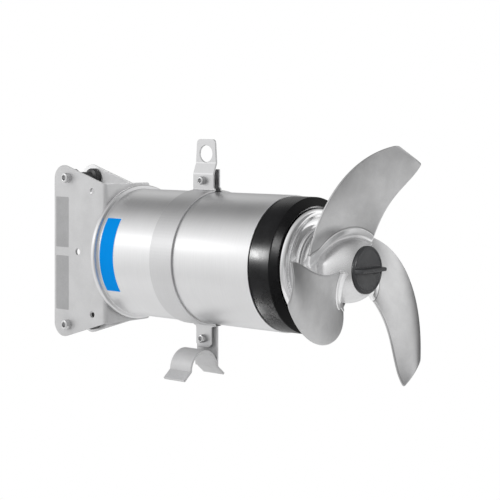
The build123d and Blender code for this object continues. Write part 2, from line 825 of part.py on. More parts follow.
# Rolling bearings: rings with ball grooves, and balls that ride with the shaft
for prefix, start, width, bore, outside, ball in (
    ("rear", rear_bearing_start, rear_bearing_width, shaft_rear_seat, rear_bearing_diameter, rear_ball_diameter),
    ("front", front_bearing_start, front_bearing_width, shaft_front_seat, front_bearing_diameter, front_ball_diameter),
):
    pitch = (bore + outside) / 4
    middle = start + width / 2
    land = ball * ring_land
    with BuildPart() as outer_ring:
        with BuildSketch(shaft_section):
            band(start, start + width, 2 * pitch + land, outside)
            with Locations((middle, pitch)):
                Circle(ball / 2 + ball_clearance, mode=Mode.SUBTRACT)
        revolve(axis=shaft_axis)
    save(outer_ring, f"{prefix}_bearing_outer_ring")

    with BuildPart() as inner_ring:
        with BuildSketch(shaft_section):
            band(start, start + width, bore, 2 * pitch - land)
            with Locations((middle, pitch)):
                Circle(ball / 2 + ball_seat_gap, mode=Mode.SUBTRACT)
        revolve(axis=shaft_axis)
    save(inner_ring, f"{prefix}_bearing_inner_ring")

    with BuildPart() as balls:
        with Locations((middle, shaft_y, 0)):
            with Locations(*[
                (0, pitch * cos(2 * pi * k / ball_count), pitch * sin(2 * pi * k / ball_count))
                for k in range(ball_count)
            ]):
                Sphere(ball / 2)
    save(balls, f"{prefix}_bearing_balls")

# Shaft, stepped from the rear bearing to the propeller's seat
shaft_shoulder = shaft_front_seat + 2 * shaft_shoulder_step
shaft_end = hub_rear + hub_bore_length - 2
key_start = hub_rear + hub_skirt_length / 2
with BuildPart() as shaft:
    with BuildSketch(shaft_section):
        band(rear_bearing_start, rear_bearing_start + rear_bearing_width, 0, shaft_rear_seat)
        band(rear_bearing_start + rear_bearing_width, rotor_station - end_ring_length, 0, shaft_rear_seat + 2 * shaft_shoulder_step)
        band(rotor_station - end_ring_length, rotor_end, 0, shaft_rotor)
        band(rotor_end, front_bearing_start, 0, shaft_shoulder)
        band(front_bearing_start, front_bearing_end, 0, shaft_front_seat)
        band(front_bearing_end, hub_rear, 0, shaft_seal_seat)
        band(hub_rear, shaft_end, 0, shaft_nose)
    revolve(axis=shaft_axis)
    with BuildSketch(across(shaft_end)):
        Circle(propeller_screw_thread / 2)
    extrude(amount=-propeller_screw_length, mode=Mode.SUBTRACT)
    with BuildSketch(across(key_start)):
        with Locations((0, shaft_nose / 2)):
            Rectangle(key_width, key_height)
    extrude(amount=key_length, mode=Mode.SUBTRACT)
save(shaft, "shaft")

with BuildPart() as rotor_core:
    with BuildSketch(shaft_section):
        band(rotor_station, rotor_end, shaft_rotor, stator_bore - 2 * air_gap)
    revolve(axis=shaft_axis)
save(rotor_core, "rotor_core")

with BuildPart() as rotor_cage:
    with BuildSketch(shaft_section):
        band(rotor_station - end_ring_length, rotor_station, end_ring_inner, end_ring_outer)
        band(rotor_end, rotor_end + end_ring_length, end_ring_inner, end_ring_outer)
    revolve(axis=shaft_axis)
save(rotor_cage, "rotor_cage")

# Turning halves of the shaft seals: each runs on its seat's inner face
with BuildPart() as inner_seal_ring:
    with BuildSketch(shaft_section):
        start = partition_end + seal_face_gap
        band(start, start + seal_ring_length, shaft_seal_seat, seal_ring_outer)
    revolve(axis=shaft_axis)
save(inner_seal_ring, "inner_seal_ring")

with BuildPart() as outer_seal_ring:
    with BuildSketch(shaft_section):
        start = outer_seat_start - seal_face_gap
        band(start - seal_ring_length, start, shaft_seal_seat, seal_ring_outer)
    revolve(axis=shaft_axis)
save(outer_seal_ring, "outer_seal_ring")

# Propeller hub: a skirt, a rounded body and a recess for the screw
ball_radius = hub_ball_diameter / 2
ball_centre = hub_rear + hub_ball_station
front_face_radius = (ball_radius ** 2 - (hub_front - ball_centre) ** 2) ** 0.5
skirt_end = hub_rear + hub_skirt_length
waist_radius = (ball_radius ** 2 - (hub_waist_station - hub_ball_station) ** 2) ** 0.5
waist_slope = (hub_ball_station - hub_waist_station) / waist_radius
with BuildPart() as propeller_hub:
    with BuildSketch(shaft_section):
        with BuildLine():
            Line((hub_rear, 0), (hub_rear, hub_skirt_diameter / 2))
            Line((hub_rear, hub_skirt_diameter / 2), (skirt_end - hub_skirt_round, hub_skirt_diameter / 2))
            Spline(
                (skirt_end - hub_skirt_round, hub_skirt_diameter / 2), (hub_rear + hub_waist_station, waist_radius),
                tangents=[(1, 0), (1, waist_slope)],
            )
            RadiusArc((hub_rear + hub_waist_station, waist_radius), (hub_front, front_face_radius), ball_radius)
            Line((hub_front, front_face_radius), (hub_front, 0))
            Line((hub_front, 0), (hub_rear, 0))
        make_face()
    revolve(axis=shaft_axis)
    with BuildSketch(across(hub_rear)):
        Circle(shaft_nose / 2)
        with Locations((0, shaft_nose / 2)):
            Rectangle(key_width, key_height)
    extrude(amount=hub_bore_length, mode=Mode.SUBTRACT)
    with BuildSketch(across(hub_front)):
        Circle(hub_recess_diameter / 2)
    extrude(amount=-(hub_length - hub_bore_length), mode=Mode.SUBTRACT)
save(propeller_hub, "propeller_hub")


def edge_curve(ends, t):
    """A cubic curve's value at t, from its four control values."""
    return sum(comb(3, i) * t ** i * (1 - t) ** (3 - i) * ends[i] for i in range(4))


def blade_point(u, v):
    """A point of the blade: u runs from the convex edge to the concave one, v from root to tip.

    Turn and station are those of the two edges at that radius, shared out in proportion,
    and a parabola bulges the middle forward.
    """
    deepest = root_depth_rear + (root_depth_front - root_depth_rear) * u
    outermost = tip_radius - 4 * tip_sag * u * (1 - u)
    radius = deepest + (outermost - deepest) * v
    t = (radius - root_radius) / (outermost - root_radius)
    t = t if t > 0 else t / (1 - root_easing * t)
    turn = (1 - u) * edge_curve(convex_edge_turns, t) + u * edge_curve(concave_edge_turns, t)
    share = (1 - u) * edge_curve(convex_edge_stations, t) + u * edge_curve(concave_edge_stations, t)
    station = blade_depth * share + 4 * blade_camber * u * (1 - u)
    angle = radians(turn)
    return Vector(hub_rear + station, shaft_y - radius * cos(angle), radius * sin(angle))


# Blades: one curved sheet, thickened, its tip corners rounded, repeated round the hub
across_steps = 8
along_steps = 12
blade_sheet = Face.make_surface_from_array_of_points(
    [[blade_point(i / across_steps, j / along_steps) for i in range(across_steps + 1)]
     for j in range(along_steps + 1)]
)
with BuildPart() as blade:
    thicken(to_thicken=blade_sheet, amount=blade_thickness)
    tip_corners = edges().filter_by(lambda edge: edge.length < 1.5 * blade_thickness)
    by_radius = tip_corners.sort_by(lambda edge: (edge.center() - Vector(edge.center().X, shaft_y, 0)).length)
    fillet(by_radius[-2:], tip_round)

for k in range(blade_count):
    with BuildPart() as propeller_blade:
        add(blade.part.rotate(shaft_axis, 360 / blade_count * k))
        add(propeller_hub.part, mode=Mode.SUBTRACT)
    save(propeller_blade, f"propeller_blade_{k + 1}")

with BuildPart() as propeller_key:
    with BuildSketch(across(key_start)):
        with Locations((0, shaft_nose / 2)):
            Rectangle(key_width, key_height)
    extrude(amount=key_length)
save(propeller_key, "propeller_key")

washer_start = hub_rear + hub_bore_length
screw_seat = Plane(
    origin=(washer_start + propeller_washer_width, shaft_y, 0), x_dir=(0, 1, 0), z_dir=(1, 0, 0)
)
with BuildPart() as propeller_washer:
    with BuildSketch(across(washer_start)):
        Circle(propeller_washer_diameter / 2)
        Circle(propeller_screw_thread / 2 + hole_clearance, mode=Mode.SUBTRACT)
    extrude(amount=propeller_washer_width)
save(propeller_washer, "propeller_washer")

hub_fixing = cap_screw(screw_seat, propeller_screw_thread, propeller_screw_length)
with BuildPart() as propeller_screw:
    add(hub_fixing)
save(propeller_screw, "propeller_screw")

plug_groove = hub_front - plug_spigot_length / 2
with BuildPart() as hub_plug:
    with BuildSketch(across(hub_front)):
        Circle(plug_diameter / 2)
    extrude(amount=plug_rim)
    fillet(faces().sort_by(Axis.X)[-1].edges(), plug_rim / 2)
    with BuildSketch(across(hub_front)):
        Circle(hub_recess_diameter / 2 - fit_clearance)
    extrude(amount=-plug_spigot_length)
    with BuildSketch(across(hub_front + plug_rim)):
        Rectangle(plug_diameter - plug_rim, plug_fin_width)
    extrude(amount=plug_fin_height)
    with BuildSketch(shaft_section):
        groove(plug_groove, hub_recess_diameter - 2 * fit_clearance)
    revolve(axis=shaft_axis, mode=Mode.SUBTRACT)
save(hub_plug, "hub_plug")

recess_ring = rubber_ring(plug_groove, hub_recess_diameter)
with BuildPart() as hub_plug_oring:
    add(recess_ring)
save(hub_plug_oring, "hub_plug_oring")
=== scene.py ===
# The visible surfaces, finishes, light and camera of a submersible mixer on its guide bracket.
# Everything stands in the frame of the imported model: metres, +X forward along the shaft,
# +Y to the far side, +Z up, and the origin on the rear face of the bracket's web.

import json
from math import comb, cos, pi, radians, sin, tan

import bmesh
import bpy
import numpy as np
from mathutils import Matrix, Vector


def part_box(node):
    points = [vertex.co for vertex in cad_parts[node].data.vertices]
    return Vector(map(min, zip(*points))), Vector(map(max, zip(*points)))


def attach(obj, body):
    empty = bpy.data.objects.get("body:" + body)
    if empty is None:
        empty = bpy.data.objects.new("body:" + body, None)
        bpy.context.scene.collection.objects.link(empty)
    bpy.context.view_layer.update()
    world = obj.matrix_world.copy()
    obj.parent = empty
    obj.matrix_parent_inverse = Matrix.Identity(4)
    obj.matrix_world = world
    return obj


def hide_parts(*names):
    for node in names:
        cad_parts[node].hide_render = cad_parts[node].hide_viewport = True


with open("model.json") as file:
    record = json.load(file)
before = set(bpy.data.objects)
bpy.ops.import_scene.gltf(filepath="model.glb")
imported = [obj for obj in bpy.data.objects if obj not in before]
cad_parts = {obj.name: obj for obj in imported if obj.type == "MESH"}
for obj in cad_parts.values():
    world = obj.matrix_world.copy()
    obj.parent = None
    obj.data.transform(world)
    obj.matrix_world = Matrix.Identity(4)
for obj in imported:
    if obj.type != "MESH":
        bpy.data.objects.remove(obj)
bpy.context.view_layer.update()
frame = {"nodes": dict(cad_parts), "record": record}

bl_info = {
    "name": "Submersible mixer looks",
    "version": (1, 0, 0),
    "blender": (4, 5, 0),
    "location": "View3D > Sidebar > Mixer",
    "description": "Builds the visible surfaces and finishes of a submersible mixer around its CAD frame",
    "category": "Object",
}

MM = 0.001
MERGE_DISTANCE = 1e-7
# How far the even shading of sheet favours its large faces, where 50 is neutral and 100 the most
LARGE_FACE_WEIGHT = 80


def cad_low(node, axis):
    """Lowest coordinate of a CAD node along one axis, in metres."""
    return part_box(node)[0][axis]


def cad_high(node, axis):
    """Highest coordinate of a CAD node along one axis, in metres."""
    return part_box(node)[1][axis]


# The shaft's line, from the black ring, which is round about it
SHAFT_Y = (cad_low("bumper_ring", 1) + cad_high("bumper_ring", 1)) / 2


# Sizes and colours that a user would change


def length(name, description, default, low, high):
    """A length that a user can set, in metres."""
    return bpy.props.FloatProperty(name=name, description=description, default=default, min=low, max=high,
                                   subtype="DISTANCE", unit="LENGTH")


def shade(name, description, default):
    """A colour that a user can set."""
    return bpy.props.FloatVectorProperty(name=name, description=description, default=default,
                                         min=0.0, max=1.0, subtype="COLOR")


class MixerSizes(bpy.types.PropertyGroup):
    """Sizes of the surfaces that the script builds where the CAD frame leaves them open."""

    sheet_edge: length("Sheet edge", "Rounding on the edges of bent sheet", 0.0007, 0.0001, 0.002)
    label_length: length("Label length", "Length of the plain label along the casing", 0.033, 0.01, 0.06)
    label_start: length("Label start", "Station where the label begins", 0.020, 0.015, 0.08)
    weld_width: length("Weld width", "Width of the weld beads on the bracket", 0.004, 0.001, 0.008)
    floor_drop: length("Floor drop", "How far the floor lies under the shaft", 0.76, 0.2, 2.0)


class MixerColours(bpy.types.PropertyGroup):
    """Colours of the finishes."""

    casing: shade("Casing", "Brushed stainless casing", (0.72, 0.72, 0.725))
    sheet: shade("Sheet", "Satin stainless sheet", (0.66, 0.66, 0.665))
    blades: shade("Blades", "Satin stainless propeller", (0.80, 0.80, 0.805))
    ring: shade("Ring", "Glossy black ring", (0.003, 0.003, 0.0033))
    plug: shade("Plug", "Dark plastic hub plug", (0.022, 0.0225, 0.024))
    label: shade("Label", "Plain blue label", (0.0, 0.32, 0.94))


# Meshes


def grid_faces(rows, columns, wrap_rows=False):
    """Quads between neighbours of a grid that is numbered row by row and closed along each row."""
    r = np.arange(rows if wrap_rows else rows - 1)
    c = np.arange(columns)
    r, c = np.meshgrid(r, c, indexing="ij")
    up, right = (r + 1) % rows, (c + 1) % columns
    corners = np.stack([r * columns + c, r * columns + right, up * columns + right, up * columns + c], -1)
    return corners.reshape(-1, 4)


def mesh_from(name, points, faces, caps=(), masks=None):
    """A mesh of the points and quads, with its doubles merged and its faces turned outwards.

    masks holds a name and a number per point for each attribute that a finish reads.
    """
    mesh = bpy.data.meshes.new(name)
    polygons = faces.tolist() + [list(map(int, cap)) for cap in caps]
    mesh.from_pydata(points.reshape(-1, 3).tolist(), [], polygons)
    for key, values in (masks or {}).items():
        numbers = mesh.attributes.new(key, "FLOAT", "POINT").data
        numbers.foreach_set("value", np.ravel(values).astype(np.float32))
    work = bmesh.new()
    work.from_mesh(mesh)
    bmesh.ops.remove_doubles(work, verts=work.verts, dist=MERGE_DISTANCE)
    bmesh.ops.dissolve_degenerate(work, edges=work.edges, dist=MERGE_DISTANCE)
    bmesh.ops.recalc_face_normals(work, faces=work.faces)
    work.to_mesh(mesh)
    work.free()
    return mesh


def closed_grid(name, points, wrap_rows=False, masks=None):
    """A mesh from a grid (rows, columns, 3): each row is a closed loop, and the first and last
    rows get a cap unless the rows close on each other."""
    rows, columns = points.shape[:2]
    caps = () if wrap_rows else (np.arange(columns), np.arange(columns) + (rows - 1) * columns)
    return mesh_from(name, points, grid_faces(rows, columns, wrap_rows), caps, masks)


def joined(name, meshes):
    """One mesh that holds several."""
    work = bmesh.new()
    for mesh in meshes:
        work.from_mesh(mesh)
        bpy.data.meshes.remove(mesh)
    whole = bpy.data.meshes.new(name)
    work.to_mesh(whole)
    work.free()
    return whole


def show(name, mesh, body, material, stands_for=(), crease=35.0, weighted=False):
    """An object for the mesh: shaded smooth but for sharp creases, riding on its body."""
    mesh.polygons.foreach_set("use_smooth", np.ones(len(mesh.polygons), bool))
    mesh.set_sharp_from_angle(angle=radians(crease))
    piece = bpy.data.objects.new(name, mesh)
    bpy.context.scene.collection.objects.link(piece)
    mesh.materials.clear()
    mesh.materials.append(material)
    if weighted:
        normals = piece.modifiers.new("Even shading", "WEIGHTED_NORMAL")
        normals.keep_sharp = True
        normals.weight = LARGE_FACE_WEIGHT
    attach(piece, body)
    if stands_for:
        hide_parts(*stands_for)
    return piece


def cut_from(mesh, cutters, name):
    """The mesh with the cutters' shapes taken away."""
    body = bpy.data.objects.new(name + "_blank", mesh)
    tool = bpy.data.objects.new(name + "_cutter", joined(name + "_cutter", cutters))
    for thing in (body, tool):
        bpy.context.scene.collection.objects.link(thing)
    cut = body.modifiers.new("Cut", "BOOLEAN")
    cut.operation = "DIFFERENCE"
    cut.solver = "EXACT"
    cut.object = tool
    bpy.context.view_layer.update()
    graph = bpy.context.evaluated_depsgraph_get()
    result = bpy.data.meshes.new_from_object(body.evaluated_get(graph), depsgraph=graph)
    for thing in (body, tool):
        old = thing.data
        bpy.data.objects.remove(thing)
        bpy.data.meshes.remove(old)
    result.name = name
    return result


def softened(profile, rounds, steps=5):
    """A profile's points with rounded corners.

    Each corner gives way to a parabola between two points set back from it by its own rounding,
    or by just under half of a shorter side.
    """
    profile = np.asarray(profile, float)
    rounds = np.broadcast_to(np.asarray(rounds, float), len(profile))
    out = [profile[:1]]
    share = np.linspace(0, 1, steps + 1)[:, None]
    under_half = 0.49
    for before, corner, after, size in zip(profile[:-2], profile[1:-1], profile[2:], rounds[1:-1]):
        back, on = before - corner, after - corner
        reach = min(size, under_half * np.hypot(*back), under_half * np.hypot(*on))
        if reach <= 1e-9:
            out.append(corner[None])
            continue
        start, end = corner + back / np.hypot(*back) * reach, corner + on / np.hypot(*on) * reach
        out.append((1 - share) ** 2 * start + 2 * share * (1 - share) * corner + share ** 2 * end)
    out.append(profile[-1:])
    return np.concatenate(out)


def turned(name, profile, centre=None, along="x", segments=160, hollow=False, flats=None):
    """A turned shape: each profile point (distance along the axis, radius) becomes a circle.

    A point at angle a lies at its radius times (cos a, sin a) across the axis. flats, if given,
    holds a number per profile point: 1 makes that row a hexagon of the same apothem, 0 a circle.
    """
    profile = np.asarray(profile, float)
    turn = np.linspace(0, 2 * pi, segments, endpoint=False)
    radius = np.repeat(profile[:, 1:2], segments, 1)
    if flats is not None:
        hexagon = 1 / np.cos((turn + pi / 6) % (pi / 3) - pi / 6)
        radius = radius * (1 + np.asarray(flats, float)[:, None] * (hexagon - 1))
    run = np.repeat(profile[:, 0:1], segments, 1)
    across, up = radius * np.cos(turn), radius * np.sin(turn)
    cx, cy, cz = centre if centre is not None else (0.0, SHAFT_Y, 0.0)
    if along == "x":
        points = np.stack([cx + run, cy + across, cz + up], -1)
    else:
        points = np.stack([cx + across, cy + run, cz + up], -1)
    return closed_grid(name, points, wrap_rows=hollow)


def post(centre, along, low, high, radius):
    """A plain round cutter between two distances along an axis."""
    return turned("drill", [(low, 0), (low, radius), (high, radius), (high, 0)], centre, along, segments=40)


def bent_line(points, rounds, steps=8):
    """Points of a bent line: straight runs joined by true arcs of the given radii.

    At each corner the arc starts where a circle of that radius touches the first run, and turns
    about the circle's centre until it touches the second.
    """
    points = np.asarray(points, float)
    rounds = np.broadcast_to(np.asarray(rounds, float), len(points))
    out = [points[:1]]
    for before, corner, after, radius in zip(points[:-2], points[1:-1], points[2:], rounds[1:-1]):
        first, second = corner - before, after - corner
        first, second = first / np.hypot(*first), second / np.hypot(*second)
        side = np.sign(first[0] * second[1] - first[1] * second[0])
        turn = np.arccos(np.clip(first @ second, -1, 1))
        if radius <= 0 or turn < 1e-4:
            out.append(corner[None])
            continue
        start = corner - first * radius * tan(turn / 2)
        normal = side * np.array([-first[1], first[0]])
        angle = np.linspace(0, turn, steps + 1)[:, None]
        out.append(start + first * radius * np.sin(angle) + normal * radius * (1 - np.cos(angle)))
    out.append(points[-1:])
    return np.concatenate(out)


def quarter_round(gap, size):
    """Height of a quarter circle at a gap from its edge, as a share of its size; 1 beyond the size."""
    return np.sqrt(1 - (1 - np.clip(gap / size, 0, 1)) ** 2)


def sheet_along(name, line, thickness, spans, edge, place, step=2 * MM, end_round=0.0):
    """Bent sheet: a rounded rectangle carried along a line in a plane.

    A station's section is centred on the line. Its corners are quarter circles of the edge size.
    A section point is the line's point, plus the line's left-hand normal times the point's
    thickness coordinate, and its third coordinate is the point's width coordinate. The section
    shrinks as a quarter circle over the last edge size at both ends. spans gives the lowest and
    highest width at points of the line, and place turns all three coordinates into the frame's.
    """
    run = np.concatenate([[0], np.cumsum(np.hypot(*np.diff(line, axis=0).T))])
    end = run[-1]
    least_gap, nudge, under_full = 1e-5, 1e-5, 0.98
    quarter = np.linspace(0, pi / 2, 10)
    close = edge * (1 - np.cos(quarter[::3]))
    wide = end_round * (1 - np.cos(quarter))
    at = np.concatenate([run, np.arange(0, end, step), close, end - close, wide, end - wide])
    at = np.unique(np.round(np.clip(at, 0, end), 8))
    at = at[np.concatenate([[True], np.diff(at) > least_gap])]
    at[-1] = end

    def on_line(shift):
        return np.stack([np.interp(at + shift, run, line[:, k]) for k in (0, 1)], -1)

    point, tangent = on_line(0), on_line(nudge) - on_line(-nudge)
    tangent /= np.hypot(*tangent.T)[:, None]
    normal = np.stack([-tangent[:, 1], tangent[:, 0]], -1)
    shrink = edge * (1 - quarter_round(np.minimum(at, end - at), edge))
    low, high = spans(point)
    middle, half_width = (low + high) / 2, (high - low) / 2 - shrink
    half_thick = thickness / 2 - shrink
    corner = np.minimum(edge, half_thick * under_full)
    arc = np.linspace(0, pi / 2, 4)
    turn = np.concatenate([arc, arc + pi / 2, arc + pi, arc + 3 * pi / 2])
    sign_t = np.repeat([1, -1, -1, 1], 4)
    sign_w = np.repeat([1, 1, -1, -1], 4)
    t = sign_t * (half_thick - corner)[:, None] + corner[:, None] * np.cos(turn)
    w = sign_w * (half_width - corner)[:, None] + corner[:, None] * np.sin(turn) + middle[:, None]
    flat = point[:, None, :] + normal[:, None, :] * t[..., None]
    return closed_grid(name, place(flat[..., 0], flat[..., 1], w))


def bead(path, width, ripple):
    """A weld bead: a circle carried along a path, swelling and shrinking with every ripple.

    Its radius is half the width, times one plus a tenth of the sine of the way along the path
    over the ripple's length, and falls off as a square root over the last width at both ends.
    """
    sides, stations_per_ripple, fewest, blunt = 14, 5, 12, 0.02
    run = np.concatenate([[0], np.cumsum(np.linalg.norm(np.diff(path, axis=0), axis=1))])
    at = np.linspace(0, run[-1], max(fewest, int(run[-1] / (ripple / stations_per_ripple))))
    point = np.stack([np.interp(at, run, path[:, k]) for k in range(3)], -1)
    tangent = np.gradient(point, axis=0)
    tangent /= np.linalg.norm(tangent, axis=1)[:, None]
    upright = abs(tangent[:, 2]).mean() >= 0.8
    first = np.cross(tangent, (1.0, 0.0, 0.0) if upright else (0.0, 0.0, 1.0))
    first /= np.linalg.norm(first, axis=1)[:, None]
    second = np.cross(tangent, first)
    turn = np.linspace(0, 2 * pi, sides, endpoint=False)
    swell = 1 + 0.1 * np.sin(2 * pi * at / ripple)
    taper = np.sqrt(np.clip(np.minimum(at, at[-1] - at) / width, blunt, 1))
    radius = (width / 2 * swell * taper)[:, None]
    points = (point[:, None] + first[:, None] * (radius * np.cos(turn))[..., None]
              + second[:, None] * (radius * np.sin(turn))[..., None])
    return closed_grid("bead", points)


def profile_and_flats(rows, direction=1):
    """Profile and flats of rows that each hold a distance along the axis, a radius and a flatness."""
    rows = np.array(rows, float)
    return np.stack([rows[:, 0] * direction, rows[:, 1]], -1), rows[:, 2]


def socket_screw(seat, thread, reach):
    """A socket head screw that points along +Y: shank, head with a rounded rim, hexagon socket.

    Its sizes are shares of the thread's. It is turned about its axis, and the socket's rows are
    hexagons instead of circles.
    """
    shank, head, top, socket = thread / 2, thread * 0.8, thread, thread * 0.4
    tip, foot = 0.6 * MM, 0.4 * MM
    crown = np.array([(1.6, 0), (0.6, 0.5), (0.1, 1.6), (0, 2.2)]) * MM
    mouth = np.array([(0, 0.8), (0.3, 0.1), (0.6, 0)]) * MM
    rows = [(-reach, 0, 0), (-reach, shank - tip, 0), (tip - reach, shank, 0), (0, shank, 0),
            (0, head - foot, 0), (foot, head, 0)]
    rows += [(top - down, head - inward, 0) for down, inward in crown]
    rows += [(top - down, socket + outward, flat) for (down, outward), flat in zip(mouth, (0, 1, 1))]
    rows += [(top * 0.52, socket, 1), (top * 0.48, socket * 0.9, 1), (top * 0.42, 0, 0)]
    profile, flats = profile_and_flats(rows, -1)
    return turned("screw", profile, seat, "y", segments=48, flats=flats)


def hexagon_nut(seat, thread):
    """A hexagon nut with bevelled corners; a bevel row lies between the hexagon and its circle."""
    flat, height, bore = thread * 0.825, thread * 0.8, thread / 2
    rim, bevel, corner, between = flat * 0.96, 0.4 * MM, 1.1 * MM, 0.55
    profile, flats = profile_and_flats([
        (0, bore, 0), (0, rim, 0), (bevel, flat, between), (corner, flat, 1), (height - corner, flat, 1),
        (height - bevel, flat, between), (height, rim, 0), (height, bore, 0)])
    return turned("nut", profile, seat, "y", segments=48, flats=flats, hollow=True)


# Finishes

FINISH_SOCKETS = ("Colour", "Roughness", "Normal")
SOCKET_KINDS = {"Colour": "NodeSocketColor", "Normal": "NodeSocketVector", "Stretch": "NodeSocketVector"}


def node(tree, kind, settings=None, **inputs):
    """A node with its settings, and its inputs set or linked: I0, I1 and so on name them by number."""
    made = tree.nodes.new(kind)
    for key, value in (settings or {}).items():
        setattr(made, key, value)
    for key, value in inputs.items():
        socket = made.inputs[int(key[1:]) if key[1:].isdigit() else key]
        if isinstance(value, bpy.types.NodeSocket):
            tree.links.new(value, socket)
        else:
            socket.default_value = value
    return made


def calc(tree, operation, *values):
    """Result of a Math node on the values."""
    inputs = {f"I{k}": value for k, value in enumerate(values)}
    return node(tree, "ShaderNodeMath", {"operation": operation}, **inputs).outputs[0]


def noise(tree, place, scale, detail, roughness, distortion=0.0):
    """Value of a noise texture at a place."""
    return node(tree, "ShaderNodeTexNoise", Vector=place, Scale=scale, Detail=detail,
                Roughness=roughness, Distortion=distortion).outputs["Fac"]


def ranged(tree, value, start, end, at_start, at_end, kind="LINEAR"):
    """The value carried from one range into another, and held at its ends."""
    return node(tree, "ShaderNodeMapRange", {"interpolation_type": kind}, Value=value,
                I1=start, I2=end, I3=at_start, I4=at_end).outputs[0]


def wavered(tree, middle, amount, value):
    """The middle, plus the amount times how far the value lies above one half."""
    return calc(tree, "MULTIPLY_ADD", calc(tree, "SUBTRACT", value, 0.5), amount, middle)


def shaded(tree, colour, *shares):
    """The colour times all the shares."""
    whole = shares[0]
    for share in shares[1:]:
        whole = calc(tree, "MULTIPLY", whole, share)
    return node(tree, "ShaderNodeVectorMath", {"operation": "SCALE"}, I0=colour, Scale=whole).outputs[0]


def bumped(tree, depth, distance, height):
    """Normal of the surface, tilted by a height."""
    return node(tree, "ShaderNodeBump", Strength=depth, Distance=distance, Height=height).outputs[0]


def effect(name, inputs, build):
    """A shader node group, built once, with named inputs and their defaults.

    build() gets the tree, the place on the object and the inputs, and gives what comes out:
    colour, roughness and normal.
    """
    if name in bpy.data.node_groups:
        return bpy.data.node_groups[name]
    tree = bpy.data.node_groups.new(name, "ShaderNodeTree")
    for socket, default in inputs.items():
        kind = SOCKET_KINDS.get(socket, "NodeSocketFloat")
        tree.interface.new_socket(name=socket, in_out="INPUT", socket_type=kind).default_value = default
    for socket in FINISH_SOCKETS:
        kind = SOCKET_KINDS.get(socket, "NodeSocketFloat")
        tree.interface.new_socket(name=socket, in_out="OUTPUT", socket_type=kind)
    given = tree.nodes.new("NodeGroupInput").outputs
    result = tree.nodes.new("NodeGroupOutput").inputs
    place = tree.nodes.new("ShaderNodeTexCoord").outputs["Object"]
    for socket, value in zip(FINISH_SOCKETS, build(tree, place, given)):
        tree.links.new(value, result[socket])
    return tree


def brushed_grain():
    """Fine straight brushing: noise stretched along the strokes, as bump and roughness."""
    def build(tree, place, given):
        moved = node(tree, "ShaderNodeVectorMath", {"operation": "MULTIPLY"}, I0=place, I1=given["Stretch"])
        strokes = noise(tree, moved.outputs[0], scale=1.0, detail=3.0, roughness=0.6)
        clouds = noise(tree, place, scale=9.0, detail=4.0, roughness=0.55)
        colour = shaded(tree, given["Colour"], ranged(tree, strokes, 0.25, 0.75, 0.955, 1.035),
                        ranged(tree, clouds, 0.3, 0.7, 0.965, 1.025))
        rough = wavered(tree, wavered(tree, given["Roughness"], given["Variation"], strokes), 0.12, clouds)
        return colour, rough, bumped(tree, given["Depth"], 0.2 * MM, strokes)

    return effect("Brushed grain", {"Colour": (0.7, 0.7, 0.7, 1), "Roughness": 0.3, "Variation": 0.2,
                                    "Depth": 0.2, "Stretch": (1500, 20, 20)}, build)


def pickled_sheet():
    """Dull sheet: fine speckle, soft clouds and darker stains."""
    def build(tree, place, given):
        speckle = noise(tree, place, scale=given["Speckle"], detail=2.0, roughness=0.7)
        clouds = noise(tree, place, scale=14.0, detail=5.0, roughness=0.6)
        stains = noise(tree, place, scale=42.0, detail=2.0, roughness=0.5)
        colour = shaded(tree, given["Colour"], ranged(tree, speckle, 0.3, 0.7, 0.95, 1.04),
                        ranged(tree, clouds, 0.3, 0.7, 0.93, 1.04),
                        ranged(tree, stains, 0.35, 0.75, 1.02, 0.94))
        rough = wavered(tree, given["Roughness"], 0.25, clouds)
        return colour, rough, bumped(tree, given["Depth"], 0.2 * MM, speckle)

    return effect("Pickled sheet", {"Colour": (0.7, 0.7, 0.7, 1), "Roughness": 0.45, "Depth": 0.25,
                                    "Speckle": 1400.0}, build)


def worked_blade():
    """Blasted blade sheet: speckled and cloudy, with painted shade that darkens it towards the tip,
    the weld's band painted brighter, partly as a highlight, and a painted shadow line beyond it.
    """
    def build(tree, place, given):
        passed = {key: given[key] for key in ("Colour", "Roughness", "Depth", "Speckle")}
        sheet = node(tree, "ShaderNodeGroup", {"node_tree": pickled_sheet()}, **passed).outputs
        arm = node(tree, "ShaderNodeVectorMath", {"operation": "MULTIPLY_ADD"},
                   I0=place, I1=(0, 1, 1), I2=(0, -SHAFT_Y, 0)).outputs[0]
        reach = node(tree, "ShaderNodeVectorMath", {"operation": "LENGTH"}, I0=arm).outputs["Value"]
        # Painted light and shade: the colour is lifted near the root and darkened out towards the tip
        fade = ranged(tree, reach, 0.09, 0.19, 1.07, 0.86, "SMOOTHSTEP")
        streak = noise(tree, arm, scale=45.0, detail=4.0, roughness=0.6, distortion=0.6)
        streaks = ranged(tree, streak, 0.3, 0.7, 0.95, 1.05)
        # Painted light from the blade's mask: the weld's band brighter, partly as a highlight on the raised
        # collar, and a painted shadow line beyond the collar's step
        dressed = node(tree, "ShaderNodeAttribute", {"attribute_name": "dressed"}).outputs["Fac"]
        lift = ranged(tree, dressed, -1.0, 1.0, 0.40, 1.08)
        return shaded(tree, sheet["Colour"], fade, streaks, lift), sheet["Roughness"], sheet["Normal"]

    return effect("Worked blade", {"Colour": (0.7, 0.7, 0.7, 1), "Roughness": 0.4, "Depth": 0.12,
                                   "Speckle": 900.0}, build)


